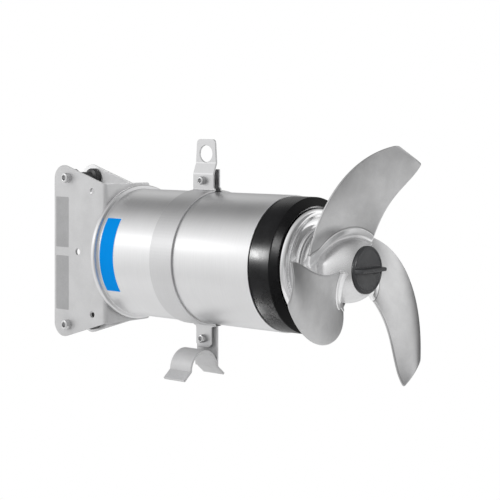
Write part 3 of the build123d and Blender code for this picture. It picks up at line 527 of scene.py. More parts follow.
def moulded_skin():
    """Plastic or rubber: a fine skin, and scuffs that dull the gloss and pale the colour."""
    def build(tree, place, given):
        skin = noise(tree, place, scale=given["Grain"], detail=3.0, roughness=0.6)
        scuffs = noise(tree, place, scale=24.0, detail=6.0, roughness=0.7)
        worn = ranged(tree, scuffs, 0.42, 0.78, 0.0, 1.0)
        colour = shaded(tree, given["Colour"], calc(tree, "MULTIPLY_ADD", worn, given["Scuff"], 1.0))
        rough = calc(tree, "MULTIPLY_ADD", worn, 0.16, given["Roughness"])
        return colour, rough, bumped(tree, given["Depth"], 0.3 * MM, skin)

    return effect("Moulded skin", {"Colour": (0.02, 0.02, 0.02, 1), "Roughness": 0.3, "Depth": 0.15,
                                   "Grain": 900.0, "Scuff": 0.6}, build)


def finish(name, group, metallic=0.0, specular=0.5, **values):
    """A material, made once: one effect group with its own values, feeding a Principled shader."""
    if name in bpy.data.materials:
        return bpy.data.materials[name]
    material = bpy.data.materials.new(name)
    material.use_nodes = True
    tree = material.node_tree
    shader = tree.nodes["Principled BSDF"].inputs
    used = node(tree, "ShaderNodeGroup", {"node_tree": group})
    for key, value in values.items():
        used.inputs[key].default_value = (*value, 1.0) if key == "Colour" else value
    for socket, target in zip(FINISH_SOCKETS, ("Base Color", "Roughness", "Normal")):
        tree.links.new(used.outputs[socket], shader[target])
    shader["Metallic"].default_value = metallic
    shader["Specular IOR Level"].default_value = specular
    return material


def colours():
    """The user's colours."""
    return bpy.context.scene.mixer_colours


def sizes():
    """The user's sizes."""
    return bpy.context.scene.mixer_sizes


def casing_steel():
    """Stainless tube, brushed round its axis."""
    return finish("Casing steel", brushed_grain(), metallic=1.0, Colour=colours().casing, Roughness=0.37,
                  Variation=0.14, Depth=0.10, Stretch=(1600.0, 26.0, 26.0))


def cover_steel():
    """Machined stainless cover, brighter than the tube."""
    return finish("Cover steel", brushed_grain(), metallic=1.0, Colour=(0.86, 0.86, 0.865), Roughness=0.15,
                  Variation=0.08, Depth=0.02, Stretch=(900.0, 60.0, 60.0))


def sheet_steel():
    """Pickled stainless sheet."""
    return finish("Sheet steel", pickled_sheet(), metallic=0.35, Colour=colours().sheet, Roughness=0.46,
                  Depth=0.22)


def polished_sheet():
    """Far side plate: smoother sheet, which mirrors what is near it, and painted lighter than the
    bracket's sheet as painted light for the gap between the plates.
    """
    # Colour painted lighter than the sheet's: painted light for the inside of the gap
    return finish("Polished sheet", pickled_sheet(), metallic=0.25, Colour=(0.78, 0.78, 0.785),
                  Roughness=0.22, Depth=0.08)


def strap_steel():
    """Clamp sheet, brighter than the bracket."""
    return finish("Strap steel", brushed_grain(), metallic=1.0, Colour=(0.62, 0.62, 0.625), Roughness=0.42,
                  Variation=0.16, Depth=0.10, Stretch=(900.0, 30.0, 30.0))


def blade_steel():
    """Satin blasted propeller sheet."""
    return finish("Blade steel", worked_blade(), metallic=0.95, Colour=colours().blades, Roughness=0.34,
                  Depth=0.12, Speckle=900.0)


def hub_steel():
    """Smoother hub, and the weld beads."""
    return finish("Hub steel", pickled_sheet(), metallic=1.0, Colour=(0.72, 0.72, 0.725), Roughness=0.29,
                  Depth=0.06, Speckle=600.0)


def screw_steel():
    """Plain stainless fasteners."""
    return finish("Screw steel", brushed_grain(), metallic=1.0, Colour=(0.62, 0.62, 0.625), Roughness=0.26,
                  Variation=0.15, Depth=0.08, Stretch=(500.0, 500.0, 500.0))


def nickel_plate():
    """Plated cable gland."""
    return finish("Nickel plate", brushed_grain(), metallic=1.0, Colour=(0.66, 0.63, 0.58), Roughness=0.24,
                  Variation=0.12, Depth=0.06, Stretch=(400.0, 400.0, 400.0))


def black_ring_finish():
    """Glossy black ring with wear."""
    return finish("Black ring", moulded_skin(), specular=0.11, Colour=colours().ring, Roughness=0.24,
                  Depth=0.06, Grain=260.0, Scuff=0.8)


def plug_finish():
    """Dark grey moulded plug."""
    return finish("Plug plastic", moulded_skin(), specular=0.25, Colour=colours().plug, Roughness=0.30,
                  Depth=0.12, Grain=700.0, Scuff=0.5)


def roller_finish():
    """Black roller plastic."""
    return finish("Roller plastic", moulded_skin(), Colour=(0.018, 0.018, 0.019), Roughness=0.42, Depth=0.15)


def rubber_finish():
    """Matt black rubber."""
    return finish("Rubber", moulded_skin(), Colour=(0.015, 0.015, 0.015), Roughness=0.65, Depth=0.3)


def label_blue():
    """Blue film: plain, satin, with faint scuffs."""
    return finish("Label blue", moulded_skin(), specular=0.02, Colour=colours().label, Roughness=0.4,
                  Depth=0.04, Grain=500.0, Scuff=0.06)


def label_white():
    """White edge of the label."""
    return finish("Label white", moulded_skin(), specular=0.4, Colour=(0.86, 0.87, 0.88), Roughness=0.4,
                  Depth=0.04, Grain=500.0, Scuff=-0.05)


def field_grey():
    """Blank etched field on the side plate, duller and darker than the sheet."""
    return finish("Etched field", pickled_sheet(), metallic=0.35, Colour=(0.46, 0.46, 0.465), Roughness=0.6,
                  Depth=0.5, Speckle=420.0)


def ground_steel():
    """Shaft and bearings."""
    return finish("Ground steel", brushed_grain(), metallic=1.0, Colour=(0.66, 0.66, 0.665), Roughness=0.2,
                  Variation=0.1, Depth=0.05, Stretch=(900.0, 40.0, 40.0))


def core_sheets():
    """Thin dark sheets, stacked along the shaft."""
    return finish("Core sheets", brushed_grain(), metallic=0.8, Colour=(0.20, 0.20, 0.21), Roughness=0.5,
                  Variation=0.2, Depth=0.4, Stretch=(4000.0, 8.0, 8.0))


def winding_wire():
    """Lacquered copper wire."""
    return finish("Winding wire", brushed_grain(), metallic=0.9, Colour=(0.55, 0.24, 0.12), Roughness=0.4,
                  Variation=0.25, Depth=0.6, Stretch=(1400.0, 120.0, 120.0))


def cast_cage():
    """Cast aluminium."""
    return finish("Cast cage", pickled_sheet(), metallic=0.9, Colour=(0.62, 0.62, 0.62), Roughness=0.5,
                  Depth=0.3)


def machined_iron():
    """Dark iron of the bearing holder and the partition."""
    return finish("Machined iron", pickled_sheet(), metallic=0.8, Colour=(0.28, 0.28, 0.29), Roughness=0.5,
                  Depth=0.3)


def seal_ceramic():
    """Smooth dark seal rings."""
    return finish("Seal ceramic", moulded_skin(), Colour=(0.05, 0.05, 0.055), Roughness=0.2, Depth=0.03)


# Guide bracket: half heights of the side plates at the rear edge and at the web, corners and bend
PLATE_REAR_HALF, PLATE_WEB_HALF = 148.0 * MM, 111.5 * MM
REAR_CORNER, WEB_CORNER, BRACKET_BEND = 23.0 * MM, 5.0 * MM, 4.5 * MM
# Holes in the side plates (station and height) and in the web (place across and height). The web's
# are round the flush screw heads, with a hair of room
SIDE_HOLES, SIDE_HOLE_RADIUS = ((-26.5, 98.5), (-26.5, -98.5), (-61.0, 0.0)), 5.5 * MM
WEB_HOLES, WEB_HOLE_RADIUS = ((0, 58), (0, -58), (50, 70), (50, -70)), 8.06 * MM
# Where the drills begin and end, outside the sheet
SIDE_DRILL, WEB_DRILL = (-6 * MM, 10 * MM), (-4 * MM, 10 * MM)
# The far plate's weld beads: half height, how deep they sit in the corner, and ripple
PLATE_WELD_HALF, PLATE_WELD_SINK, PLATE_WELD_RIPPLE = 108 * MM, 0.6 * MM, 2.8 * MM


def bracket_spans():
    """Function that gives the bracket's lowest and highest point at a place along it.

    The side plates' top edge falls evenly from the rear edge to the web; at the rear corner a
    circle of the corner's radius touches the rear edge and that slope, and on the web the edge is
    level up to a small rounded corner.
    """
    low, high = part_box("guide_bracket")
    rear, far = low.x, high.y
    slope = (PLATE_REAR_HALF - PLATE_WEB_HALF) / -rear
    lean = np.hypot(1, slope)
    circle_x = rear + REAR_CORNER
    circle_z = PLATE_REAR_HALF - slope * REAR_CORNER - REAR_CORNER * lean
    touch = circle_x + REAR_CORNER * slope / lean

    def spans(point):
        x, y = point[:, 0], point[:, 1]
        rounded = circle_z + np.sqrt(np.clip(REAR_CORNER ** 2 - (x - circle_x) ** 2, 0, None))
        sloping = PLATE_REAR_HALF - slope * (x - rear)
        side = np.maximum(np.where(x < touch, rounded, sloping), PLATE_WEB_HALF)
        web = PLATE_WEB_HALF - WEB_CORNER * (1 - quarter_round(far - y, WEB_CORNER))
        half = np.where(x > 0, web, side)
        return -half, half

    return spans


def in_plan(a, b, w):
    """Plane coordinates seen from above, with the width upwards."""
    return np.stack([a, b, w], -1)


def across_shaft(a, b, w):
    """Plane coordinates beside and above the shaft, with the width along it."""
    return np.stack([w, SHAFT_Y + a, b], -1)


class MIXER_OT_bracket(bpy.types.Operator):
    """Bent guide bracket, the far side plate and their weld"""

    bl_idname = "mixer.bracket"
    bl_label = "Guide bracket"

    def execute(self, context):
        low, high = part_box("guide_bracket")
        plate_low, plate_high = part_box("far_guide_plate")
        thick = plate_high.y - plate_low.y
        near, web, far = low.y + thick / 2, high.x - thick / 2, plate_low.y + thick / 2
        line = bent_line([(low.x, near), (web, near), (web, high.y)], [0, BRACKET_BEND, 0])
        drills = self.side_drills(low.y)
        for y, z in WEB_HOLES:
            drills.append(post((0, y * MM, z * MM), "x", *WEB_DRILL, WEB_HOLE_RADIUS))
        self.sheet("bent_guide_bracket", line, thick, drills, sheet_steel(), "guide_bracket")
        line = np.array([(plate_low.x, far), (plate_high.x, far)])
        drills = self.side_drills(plate_low.y)
        self.sheet("far_side_plate", line, thick, drills, polished_sheet(), "far_guide_plate")

        up = np.linspace(-PLATE_WELD_HALF, PLATE_WELD_HALF, 40)
        beads = []
        for y in (plate_low.y, plate_high.y):
            path = np.stack([np.full(len(up), -PLATE_WELD_SINK), np.full(len(up), y), up], -1)
            beads.append(bead(path, sizes().weld_width, PLATE_WELD_RIPPLE))
        mesh = joined("side_plate_welds", beads)
        show("side_plate_welds", mesh, "drive_unit", hub_steel())
        return {"FINISHED"}

    def side_drills(self, y):
        """Cutters for the holes of the side plate whose outer face lies at y."""
        return [post((x * MM, y, z * MM), "y", *SIDE_DRILL, SIDE_HOLE_RADIUS) for x, z in SIDE_HOLES]

    def sheet(self, name, line, thick, drills, material, stands_for):
        """One sheet of the bracket along its line, drilled and shown."""
        blank = sheet_along(name, line, thick, bracket_spans(), sizes().sheet_edge, in_plan,
                            end_round=REAR_CORNER)
        mesh = cut_from(blank, drills, name)
        show(name, mesh, "drive_unit", material, [stands_for], weighted=True)


# Guide rollers: radii of waist and bore, and how far the rim and its foot reach in from an end
ROLLER_WAIST, ROLLER_BORE, ROLLER_RIM, ROLLER_FOOT = 8.5 * MM, 6.08 * MM, 11 * MM, 14 * MM
ROLLER_ROUNDS = np.array([0, 1.0, 0.8, 1.2, 1.2, 0.8, 1.0, 0]) * MM
# Their bolts' thread and reach, and the washers' radii, thickness and bevel (along, inwards)
BOLT_THREAD, BOLT_REACH = 10 * MM, 76 * MM
WASHER_BORE, WASHER_RADIUS, WASHER_THICKNESS = 5.2 * MM, 10.5 * MM, 2 * MM
WASHER_BEVEL = (0.4 * MM, 0.3 * MM)


class MIXER_OT_rollers(bpy.types.Operator):
    """Guide rollers with their bolts, nuts and washers"""

    bl_idname = "mixer.rollers"
    bl_label = "Guide rollers"

    def execute(self, context):
        near, far = cad_low("guide_bracket", 1), cad_high("far_guide_plate", 1)
        far_washer = far + WASHER_THICKNESS
        along, inwards = WASHER_BEVEL
        ring = [(far, WASHER_BORE), (far, WASHER_RADIUS - inwards), (far + along, WASHER_RADIUS),
                (far_washer - along, WASHER_RADIUS), (far_washer, WASHER_RADIUS - inwards),
                (far_washer, WASHER_BORE)]
        screws, nuts, washers = [], [], []
        for name, body in (("upper_guide_roller", "upper_roller"), ("lower_guide_roller", "lower_roller")):
            low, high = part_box(name)
            x, z = (low.x + high.x) / 2, (low.z + high.z) / 2
            half, flange = (high.y - low.y) / 2, (high.z - low.z) / 2
            rim, foot = half - ROLLER_RIM, half - ROLLER_FOOT
            profile = [(-half, ROLLER_BORE), (-half, flange), (-rim, flange), (-foot, ROLLER_WAIST),
                       (foot, ROLLER_WAIST), (rim, flange), (half, flange), (half, ROLLER_BORE)]
            mesh = turned(name + "_turned", softened(profile, ROLLER_ROUNDS), (x, 0, z), "y",
                          segments=72, hollow=True)
            show(name + "_turned", mesh, body, roller_finish(), [name])
            screws.append(socket_screw((x, near, z), BOLT_THREAD, BOLT_REACH))
            nuts.append(hexagon_nut((x, far_washer, z), BOLT_THREAD))
            washers.append(turned("washer", ring, (x, 0, z), "y", segments=64, hollow=True))
        for name, meshes, stands_for in (
            ("roller_screws", screws, "roller_bolts"), ("roller_screw_nuts", nuts, "roller_nuts"),
            ("roller_screw_washers", washers, "roller_washers"),
        ):
            show(name, joined(name, meshes), "drive_unit", screw_steel(), [stands_for])
        return {"FINISHED"}


# Motor casing: radii of the tube, its wall, and the nose under the black ring
TUBE_RADIUS, TUBE_WALL, NOSE_RADIUS = 101.5 * MM, 4 * MM, 92 * MM
TUBE_INSIDE = TUBE_RADIUS - TUBE_WALL
CASING_SEGMENTS = 256
# Rolled rear flange: thickness, where it meets the tube, and how much wider it is there
FLANGE_THICKNESS, FLANGE_END, FLANGE_LIFT = 5.5 * MM, 6.2 * MM, 0.3 * MM
# Radius and depth of the tubes' rear and front openings, and the radius behind the front one
REAR_OPENING, REAR_DEPTH = 84 * MM, 12 * MM
FRONT_OPENING, FRONT_DEPTH, FRONT_BEHIND = 70 * MM, 12 * MM, 80 * MM
# Rear cover: how far its edge lies inside the CAD's, its spigot, and the gland hole's place across
# and radius; number, circle, radius and depth of the holes for the screws' heads
COVER_INSET, COVER_SPIGOT, COVER_SPIGOT_DEPTH = 1.2 * MM, 83 * MM, 1 * MM
GLAND_HOLE_PLACE, GLAND_HOLE_RADIUS = 104 * MM, 12.02 * MM
COVER_SCREWS, SCREW_CIRCLE, SCREW_HOLE_RADIUS, SCREW_HOLE_DEPTH = 6, 90.5 * MM, 6.15 * MM, 3.2 * MM
# The label's angles about the shaft, its border, its films' heights and how deep they sit
LABEL_BOTTOM, LABEL_TOP = radians(-33.5), radians(36.0)
LABEL_BORDER, LABEL_LIFT, FIELD_LIFT, FILM_SINK = 1.3 * MM, 0.25 * MM, 0.42 * MM, 0.2 * MM


class MIXER_OT_casing(bpy.types.Operator):
    """Rear cover, rear housing, front housing and their plain label"""

    bl_idname = "mixer.casing"
    bl_label = "Motor casing"

    def execute(self, context):
        self.cover()
        low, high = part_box("rear_housing")
        flange, deep = (high.z - low.z) / 2, low.x + REAR_DEPTH
        profile = [(low.x, REAR_OPENING), (low.x, flange), (low.x + FLANGE_THICKNESS, flange),
                   (low.x + FLANGE_END, TUBE_RADIUS + FLANGE_LIFT), (high.x, TUBE_RADIUS),
                   (high.x, TUBE_INSIDE), (deep, TUBE_INSIDE), (deep, REAR_OPENING)]
        rounds = np.array([0, 0.7, 3.0, 0.9, 0.3, 0, 0, 0]) * MM
        self.tube("rear_housing", softened(profile, rounds, steps=8))

        low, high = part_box("front_housing")
        step, deep = cad_low("bumper_ring", 0), high.x - FRONT_DEPTH
        profile = [(low.x, TUBE_RADIUS), (step, TUBE_RADIUS), (step, NOSE_RADIUS), (high.x, NOSE_RADIUS),
                   (high.x, FRONT_OPENING), (deep, FRONT_OPENING), (deep, FRONT_BEHIND),
                   (low.x, TUBE_INSIDE)]
        rounds = np.array([0, 0.5, 0, 0.5, 0, 0, 0, 0]) * MM
        self.tube("front_housing", softened(profile, rounds))
        self.label("label_border", 0.0, LABEL_LIFT, label_white())
        self.label("label_field", LABEL_BORDER, FIELD_LIFT, label_blue())
        return {"FINISHED"}

    def cover(self):
        """Rear cover: a disc with a spigot, drilled for the gland and for its screws' heads."""
        low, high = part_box("rear_cover")
        face = cad_low("rear_housing", 0)
        radius = (high.z - low.z) / 2 - COVER_INSET
        profile = [(low.x, 0), (low.x, radius), (face, radius), (face, COVER_SPIGOT),
                   (face + COVER_SPIGOT_DEPTH, 0)]
        rounds = np.array([0, 0.8, 0.4, 0, 0]) * MM
        mesh = turned("rear_cover_disc", softened(profile, rounds), segments=CASING_SEGMENTS)
        outside, through = low.x - 2 * MM, face + 3 * MM
        drills = [post((0, GLAND_HOLE_PLACE, 0), "x", outside, through, GLAND_HOLE_RADIUS)]
        for k in range(COVER_SCREWS):
            turn = 2 * pi * (k + 0.5) / COVER_SCREWS
            spot = (0, SHAFT_Y + SCREW_CIRCLE * cos(turn), SCREW_CIRCLE * sin(turn))
            drills.append(post(spot, "x", outside, low.x + SCREW_HOLE_DEPTH, SCREW_HOLE_RADIUS))
        mesh = cut_from(mesh, drills, "rear_cover_disc")
        show("rear_cover_disc", mesh, "drive_unit", casing_steel(), ["rear_cover"],
             crease=50)

    def tube(self, stands_for, profile):
        """One housing, turned from its profile."""
        name = stands_for + "_tube"
        mesh = turned(name, profile, segments=CASING_SEGMENTS, hollow=True)
        show(name, mesh, "drive_unit", casing_steel(), [stands_for])

    def label(self, name, inset, lift, material):
        """A film of the label: a patch of the casing's cylinder, lifted off it.

        The patch spans an angle about the shaft and a length along it, both drawn in by the inset
        on every side.
        """
        start, end = sizes().label_start, sizes().label_start + sizes().label_length
        turn = np.linspace(LABEL_BOTTOM + inset / TUBE_RADIUS, LABEL_TOP - inset / TUBE_RADIUS, 64)
        turn, x = np.meshgrid(turn, np.linspace(start + inset, end - inset, 12), indexing="ij")
        outer, inner = (np.stack([x, SHAFT_Y - radius * np.cos(turn), radius * np.sin(turn)], -1)
                        for radius in (TUBE_RADIUS + lift, TUBE_RADIUS - FILM_SINK))
        mesh = closed_grid(name, np.concatenate([outer, inner[:, ::-1]], 1))
        show(name, mesh, "drive_unit", material)


# Blank fields on the near plate: rear and front edge, bottom and top of each, corner, sink and height
FIELD_REAR, FIELD_FRONT = -113.5 * MM, -83.0 * MM
FIELD_HEIGHTS, FIELD_CORNER = ((6.0, 88.0), (-96.0, -8.0)), 1.5 * MM
FIELD_SINK, FIELD_HEIGHT = 0.2 * MM, 0.12 * MM


class MIXER_OT_fields(bpy.types.Operator):
    """Two blank etched fields on the near side plate"""

    bl_idname = "mixer.fields"
    bl_label = "Blank fields"

    def execute(self, context):
        near = cad_low("guide_bracket", 1)
        patches = []
        for bottom, top in FIELD_HEIGHTS:
            outline = np.array([(FIELD_REAR, bottom * MM), (FIELD_FRONT, bottom * MM),
                                (FIELD_FRONT, top * MM), (FIELD_REAR, top * MM)])
            closed = softened(np.concatenate([outline[-1:], outline, outline[:1]]), FIELD_CORNER)[1:-1]
            layers = [np.stack([closed[:, 0], np.full(len(closed), y), closed[:, 1]], -1)
                      for y in (near + FIELD_SINK, near - FIELD_HEIGHT)]
            patches.append(closed_grid("field", np.stack(layers)))
        mesh = joined("blank_etched_fields", patches)
        show("blank_etched_fields", mesh, "drive_unit", field_grey())
        return {"FINISHED"}


# Cable gland, in millimetres: radii of the body's thread, bush seat and bore, and of the nut's mouth
GLAND_THREAD, BUSH_SEAT, GLAND_BORE, NUT_MOUTH, NUT_THREAD = 12.0, 9.5, 7.0, 7.5, 12.05
# Lengths: the hexagon, the bore behind it and the nut's wall at its mouth
GLAND_HEXAGON, GLAND_STEP, NUT_WALL = 10.0, 5.0, 3.0


class MIXER_OT_gland(bpy.types.Operator):
    """Cable gland on the rear cover"""

    bl_idname = "mixer.gland"
    bl_label = "Cable gland"

    def execute(self, context):
        low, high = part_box("gland_body")
        rear, front, seat = low.x / MM, high.x / MM, cad_low("rear_cover", 0) / MM
        flat = (high.z - low.z) / 2 / MM
        hexagon, step = seat - GLAND_HEXAGON, seat - GLAND_STEP
        self.turn("gland_body", [
            (rear, BUSH_SEAT, 0), (rear, GLAND_THREAD - 0.4, 0), (rear + 0.5, GLAND_THREAD, 0),
            (hexagon, GLAND_THREAD, 0), (hexagon, flat * 0.96, 0), (hexagon + 0.6, flat, 0.6),
            (hexagon + 1.4, flat, 1), (seat - 1.2, flat, 1), (seat - 0.4, flat, 0.6), (seat, flat * 0.95, 0),
            (seat, GLAND_THREAD, 0), (front, GLAND_THREAD, 0), (front, GLAND_BORE, 0), (step, GLAND_BORE, 0),
            (step, BUSH_SEAT, 0)])
        low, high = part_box("gland_nut")
        rear, front = low.x / MM, high.x / MM
        flat, wall = (high.z - low.z) / 2 / MM, rear + NUT_WALL
        self.turn("gland_nut", [
            (rear, NUT_MOUTH, 0), (rear, 12.4, 0), (rear + 0.8, 14.2, 0), (rear + 2.6, flat - 0.3, 0.3),
            (rear + 3.6, flat, 1), (front - 1.2, flat, 1), (front - 0.4, flat, 0.6), (front, flat * 0.96, 0),
            (front, NUT_THREAD, 0), (wall, NUT_THREAD, 0), (wall, NUT_MOUTH, 0)])
        return {"FINISHED"}

    def turn(self, stands_for, rows):
        """A piece of the gland from rows of station, radius and flatness, turned about the gland's axis."""
        low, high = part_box("gland_body")
        profile, flats = profile_and_flats(rows)
        name = stands_for + "_turned"
        centre = (0, (low.y + high.y) / 2, 0)
        mesh = turned(name, profile * MM, centre, "x", segments=96, hollow=True, flats=flats)
        show(name, mesh, "drive_unit", nickel_plate(), [stands_for])


# Clamp: sheet, gaps between the ears, and how wide the ears are along the shaft
STRAP_SHEET, UPPER_GAP, LOWER_GAP, EAR_WIDTH = 3 * MM, 10 * MM, 8 * MM, 43 * MM
# Ears: where they begin to narrow, over what height, how much the lower ones narrow, cut corners
EAR_ROOT, EAR_STEP, LOWER_EAR_INSET, EAR_CORNER = 106.0 * MM, 2.0 * MM, 5.5 * MM, 5.5 * MM
EAR_BEND, LUG_BEND = 3.2 * MM, 8 * MM
# Lug: height over its bend, the bend's own height, width and corner at the top, and the eye
LUG_HEIGHT, LUG_RISE, LUG_TOP_WIDTH, LUG_CORNER = 37 * MM, 17 * MM, 38.5 * MM, 6 * MM
EYE_DROP, EYE_RADIUS, EYE_BEVEL, EYE_CUTTER = 22.5 * MM, 13.25 * MM, 0.5 * MM, 10 * MM
# Clamp screws: thread, how far the shank stands out, and heights of the upper and the lower one
CLAMP_THREAD, CLAMP_REACH, CLAMP_UPPER, CLAMP_LOWER = 8 * MM, 8 * MM, 119 * MM, -126 * MM


def ear_spans(band_low, band_high, foot, lug=None):
    """Function that gives where a strap begins and ends along the shaft.

    The band round the casing has the full width. Past the ears' root the front edge steps back,
    the lower ears are narrower still, with corners cut off evenly at their ends, and where a lug
    stands on the ear its two edges lean in evenly to the top, whose corners are quarter circles.
    """
    ear_high = band_low + EAR_WIDTH

    def spans(point):
        up = point[:, 1]
        step = np.clip((np.abs(up) - EAR_ROOT) / EAR_STEP, 0, 1)
        step = step * step * (3 - 2 * step)
        narrow = np.where(up < 0, LOWER_EAR_INSET, 0.0) * step
        low, high = band_low + narrow, band_high - (band_high - ear_high) * step - narrow
        if lug is not None:
            bend, top = lug
            lean = np.clip((up - bend) / (top - bend), 0, 1)
            inset = lean * (EAR_WIDTH - LUG_TOP_WIDTH) / 2
            inset = inset + LUG_CORNER * (1 - quarter_round(top - up, LUG_CORNER))
            low, high = low + inset, high - inset
        cut = np.clip(EAR_CORNER - (up + foot), 0, EAR_CORNER)
        return low + cut, high - cut

    return spans


def strap_line(side, foot, ear, radius, beyond=()):
    """Line of one half strap, seen along the shaft: up the lower ear, round the casing, up the upper ear.

    The round part is a circle of the strap's middle radius, between the angles where that circle
    crosses the two ears' middle planes.
    """
    low_y, high_y = side * (LOWER_GAP + STRAP_SHEET) / 2, side * (UPPER_GAP + STRAP_SHEET) / 2
    angle = np.linspace(np.arcsin(abs(low_y) / radius), pi - np.arcsin(abs(high_y) / radius), 61)
    around = np.stack([side * radius * np.sin(angle), -radius * np.cos(angle)], -1)
    points = np.concatenate([[(low_y, -foot)], around, [(high_y, ear)], np.reshape(beyond, (-1, 2))])
    rounds = np.zeros(len(points))
    rounds[[1, len(angle)]] = EAR_BEND
    rounds[len(angle) + 1:] = LUG_BEND
    return bent_line(points, rounds, steps=6)


class MIXER_OT_clamp(bpy.types.Operator):
    """Two half straps with ears, the lifting lug, and the clamp's screws and nuts"""

    bl_idname = "mixer.clamp"
    bl_label = "Clamp and lug"

    def execute(self, context):
        low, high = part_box("near_clamp_strap")
        far_low, far_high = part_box("far_clamp_strap")
        radius = SHAFT_Y - low.y - STRAP_SHEET / 2
        middle = low.x + EAR_WIDTH / 2
        bend_high = high.z - LUG_HEIGHT
        bend_low = bend_high - LUG_RISE
        line = strap_line(-1, -low.z, bend_low, radius, [(0, bend_high), (0, high.z)])
        spans = ear_spans(low.x, high.x, -low.z, (bend_high, high.z))
        blank = self.strap("near_strap", line, spans, 6 * MM)
        mesh = cut_from(blank, [self.eye(middle, high.z - EYE_DROP)], "near_strap_and_lug")
        show("near_strap_and_lug", mesh, "drive_unit", strap_steel(), ["near_clamp_strap"],
             weighted=True)
        line = strap_line(1, -far_low.z, far_high.z, radius)
        mesh = self.strap("far_strap", line, ear_spans(low.x, high.x, -far_low.z), 3 * MM)
        show("far_strap", mesh, "drive_unit", strap_steel(), ["far_clamp_strap"],
             weighted=True)

        screws, nuts = [], []
        for gap, height in ((UPPER_GAP, CLAMP_UPPER), (LOWER_GAP, CLAMP_LOWER)):
            grip = gap + 2 * STRAP_SHEET
            head = (middle, SHAFT_Y - grip / 2, height)
            screws.append(socket_screw(head, CLAMP_THREAD, grip + CLAMP_REACH))
            nuts.append(hexagon_nut((middle, SHAFT_Y + grip / 2, height), CLAMP_THREAD))
        for name, meshes, stands_for in (
            ("clamp_socket_screws", screws, "clamp_screws"), ("clamp_hexagon_nuts", nuts, "clamp_nuts"),
        ):
            show(name, joined(name, meshes), "drive_unit", screw_steel(), [stands_for])
        return {"FINISHED"}

    def strap(self, name, line, spans, end_round):
        """The sheet of one half strap."""
        return sheet_along(name, line, STRAP_SHEET, spans, sizes().sheet_edge, across_shaft,
                           step=2.5 * MM, end_round=end_round)

    def eye(self, station, height):
        """Cutter of the lifting eye, with a bevel at both faces of the sheet."""
        face, wide = STRAP_SHEET / 2, EYE_RADIUS + EYE_BEVEL
        profile = [(-EYE_CUTTER, 0), (-EYE_CUTTER, wide + EYE_CUTTER - face), (-face, wide),
                   (EYE_BEVEL - face, EYE_RADIUS), (face - EYE_BEVEL, EYE_RADIUS), (face, wide),
                   (EYE_CUTTER, wide + EYE_CUTTER - face), (EYE_CUTTER, 0)]
        return turned("eye", profile, (station, SHAFT_Y, height), "y", segments=64)


# Foot: sheet, where its near face lies beside the shaft, and the arch's radius and crown
FOOT_SHEET, FOOT_NEAR, ARCH_RADIUS, ARCH_CROWN = 3.5 * MM, 0.5 * MM, 30 * MM, 139.5 * MM
# Toes: how far they run out and fall; the bends of arch and hanger
TOE_RUN, TOE_FALL, ARCH_BEND, HANGER_BEND = 15 * MM, 12.5 * MM, 1.5 * MM, 4 * MM
# Welds: in from the sheets' edges, start and end over the arch's centre, width and ripple
FOOT_WELD_INSET, FOOT_WELD_START, FOOT_WELD_END = 1 * MM, 1 * MM, 12 * MM
FOOT_WELD_WIDTH, FOOT_WELD_RIPPLE = 3.2 * MM, 2.2 * MM


class MIXER_OT_foot(bpy.types.Operator):
    """Foot: hanger strip and arch with splayed toes"""

    bl_idname = "mixer.foot"
    bl_label = "Foot"

    def execute(self, context):
        rear, front, top = cad_low("foot_arch", 0), cad_high("foot_hanger", 0), cad_high("foot_hanger", 2)
        middle, centre = FOOT_NEAR - ARCH_RADIUS, -(ARCH_CROWN + ARCH_RADIUS)
        leg = ARCH_RADIUS - FOOT_SHEET / 2
        angle = np.linspace(pi, 0, 41)
        arc = np.stack([middle + leg * np.cos(angle), centre + leg * np.sin(angle)], -1)
        points = np.concatenate([[(middle - leg - TOE_RUN, centre - TOE_FALL)], arc])
        rounds = np.zeros(len(points))
        rounds[1] = ARCH_BEND
        self.strip("foot_arch", bent_line(points, rounds))
        strip = FOOT_NEAR + FOOT_SHEET / 2
        points = [(strip, top), (strip, centre), (strip + TOE_RUN, centre - TOE_FALL)]
        self.strip("foot_hanger", bent_line(points, [0, HANGER_BEND, 0]))

        beads = []
        for side in (rear + FOOT_WELD_INSET, front - FOOT_WELD_INSET):
            up = np.linspace(centre + FOOT_WELD_START, centre + FOOT_WELD_END, 12)
            drift = middle + np.sqrt(ARCH_RADIUS ** 2 - (up - centre) ** 2)
            path = np.stack([np.full(len(up), side), SHAFT_Y + (drift + FOOT_NEAR) / 2, up], -1)
            beads.append(bead(path, FOOT_WELD_WIDTH, FOOT_WELD_RIPPLE))
        show("foot_welds", joined("foot_welds", beads), "drive_unit", hub_steel())
        return {"FINISHED"}

    def strip(self, stands_for, line):
        """One strip of the foot along its line, as wide as the CAD piece."""
        low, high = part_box(stands_for)

        def spans(point):
            return np.full(len(point), low.x), np.full(len(point), high.x)

        name = stands_for + "_strip"
        mesh = sheet_along(name, line, FOOT_SHEET, spans, sizes().sheet_edge, across_shaft)
        show(name, mesh, "drive_unit", sheet_steel(), [stands_for], weighted=True)


# Black ring: the bevel's length and its inner end, the ring's mouth, and the gap before the nose
RING_BEVEL, RING_FACE, RING_MOUTH, RING_GAP = 7.5 * MM, 89 * MM, 87 * MM, 0.2 * MM
# Front cover: radii of bore, spigot and boss, how far the boss stands proud, roundings of rim and
# boss, a bevel at the foot of each, and the dish between them
FRONT_COVER_BORE, FRONT_COVER_SPIGOT, BOSS_RADIUS, BOSS_HEIGHT = 18.5 * MM, 69.9 * MM, 58 * MM, 5.5 * MM
RIM_ROUND, BOSS_ROUND, BOSS_FOOT, RIM_BEVEL = 8 * MM, 2.75 * MM, 0.4 * MM, 0.3 * MM
DISH_DEPTH, DISH_INSET = 3 * MM, 9.5 * MM


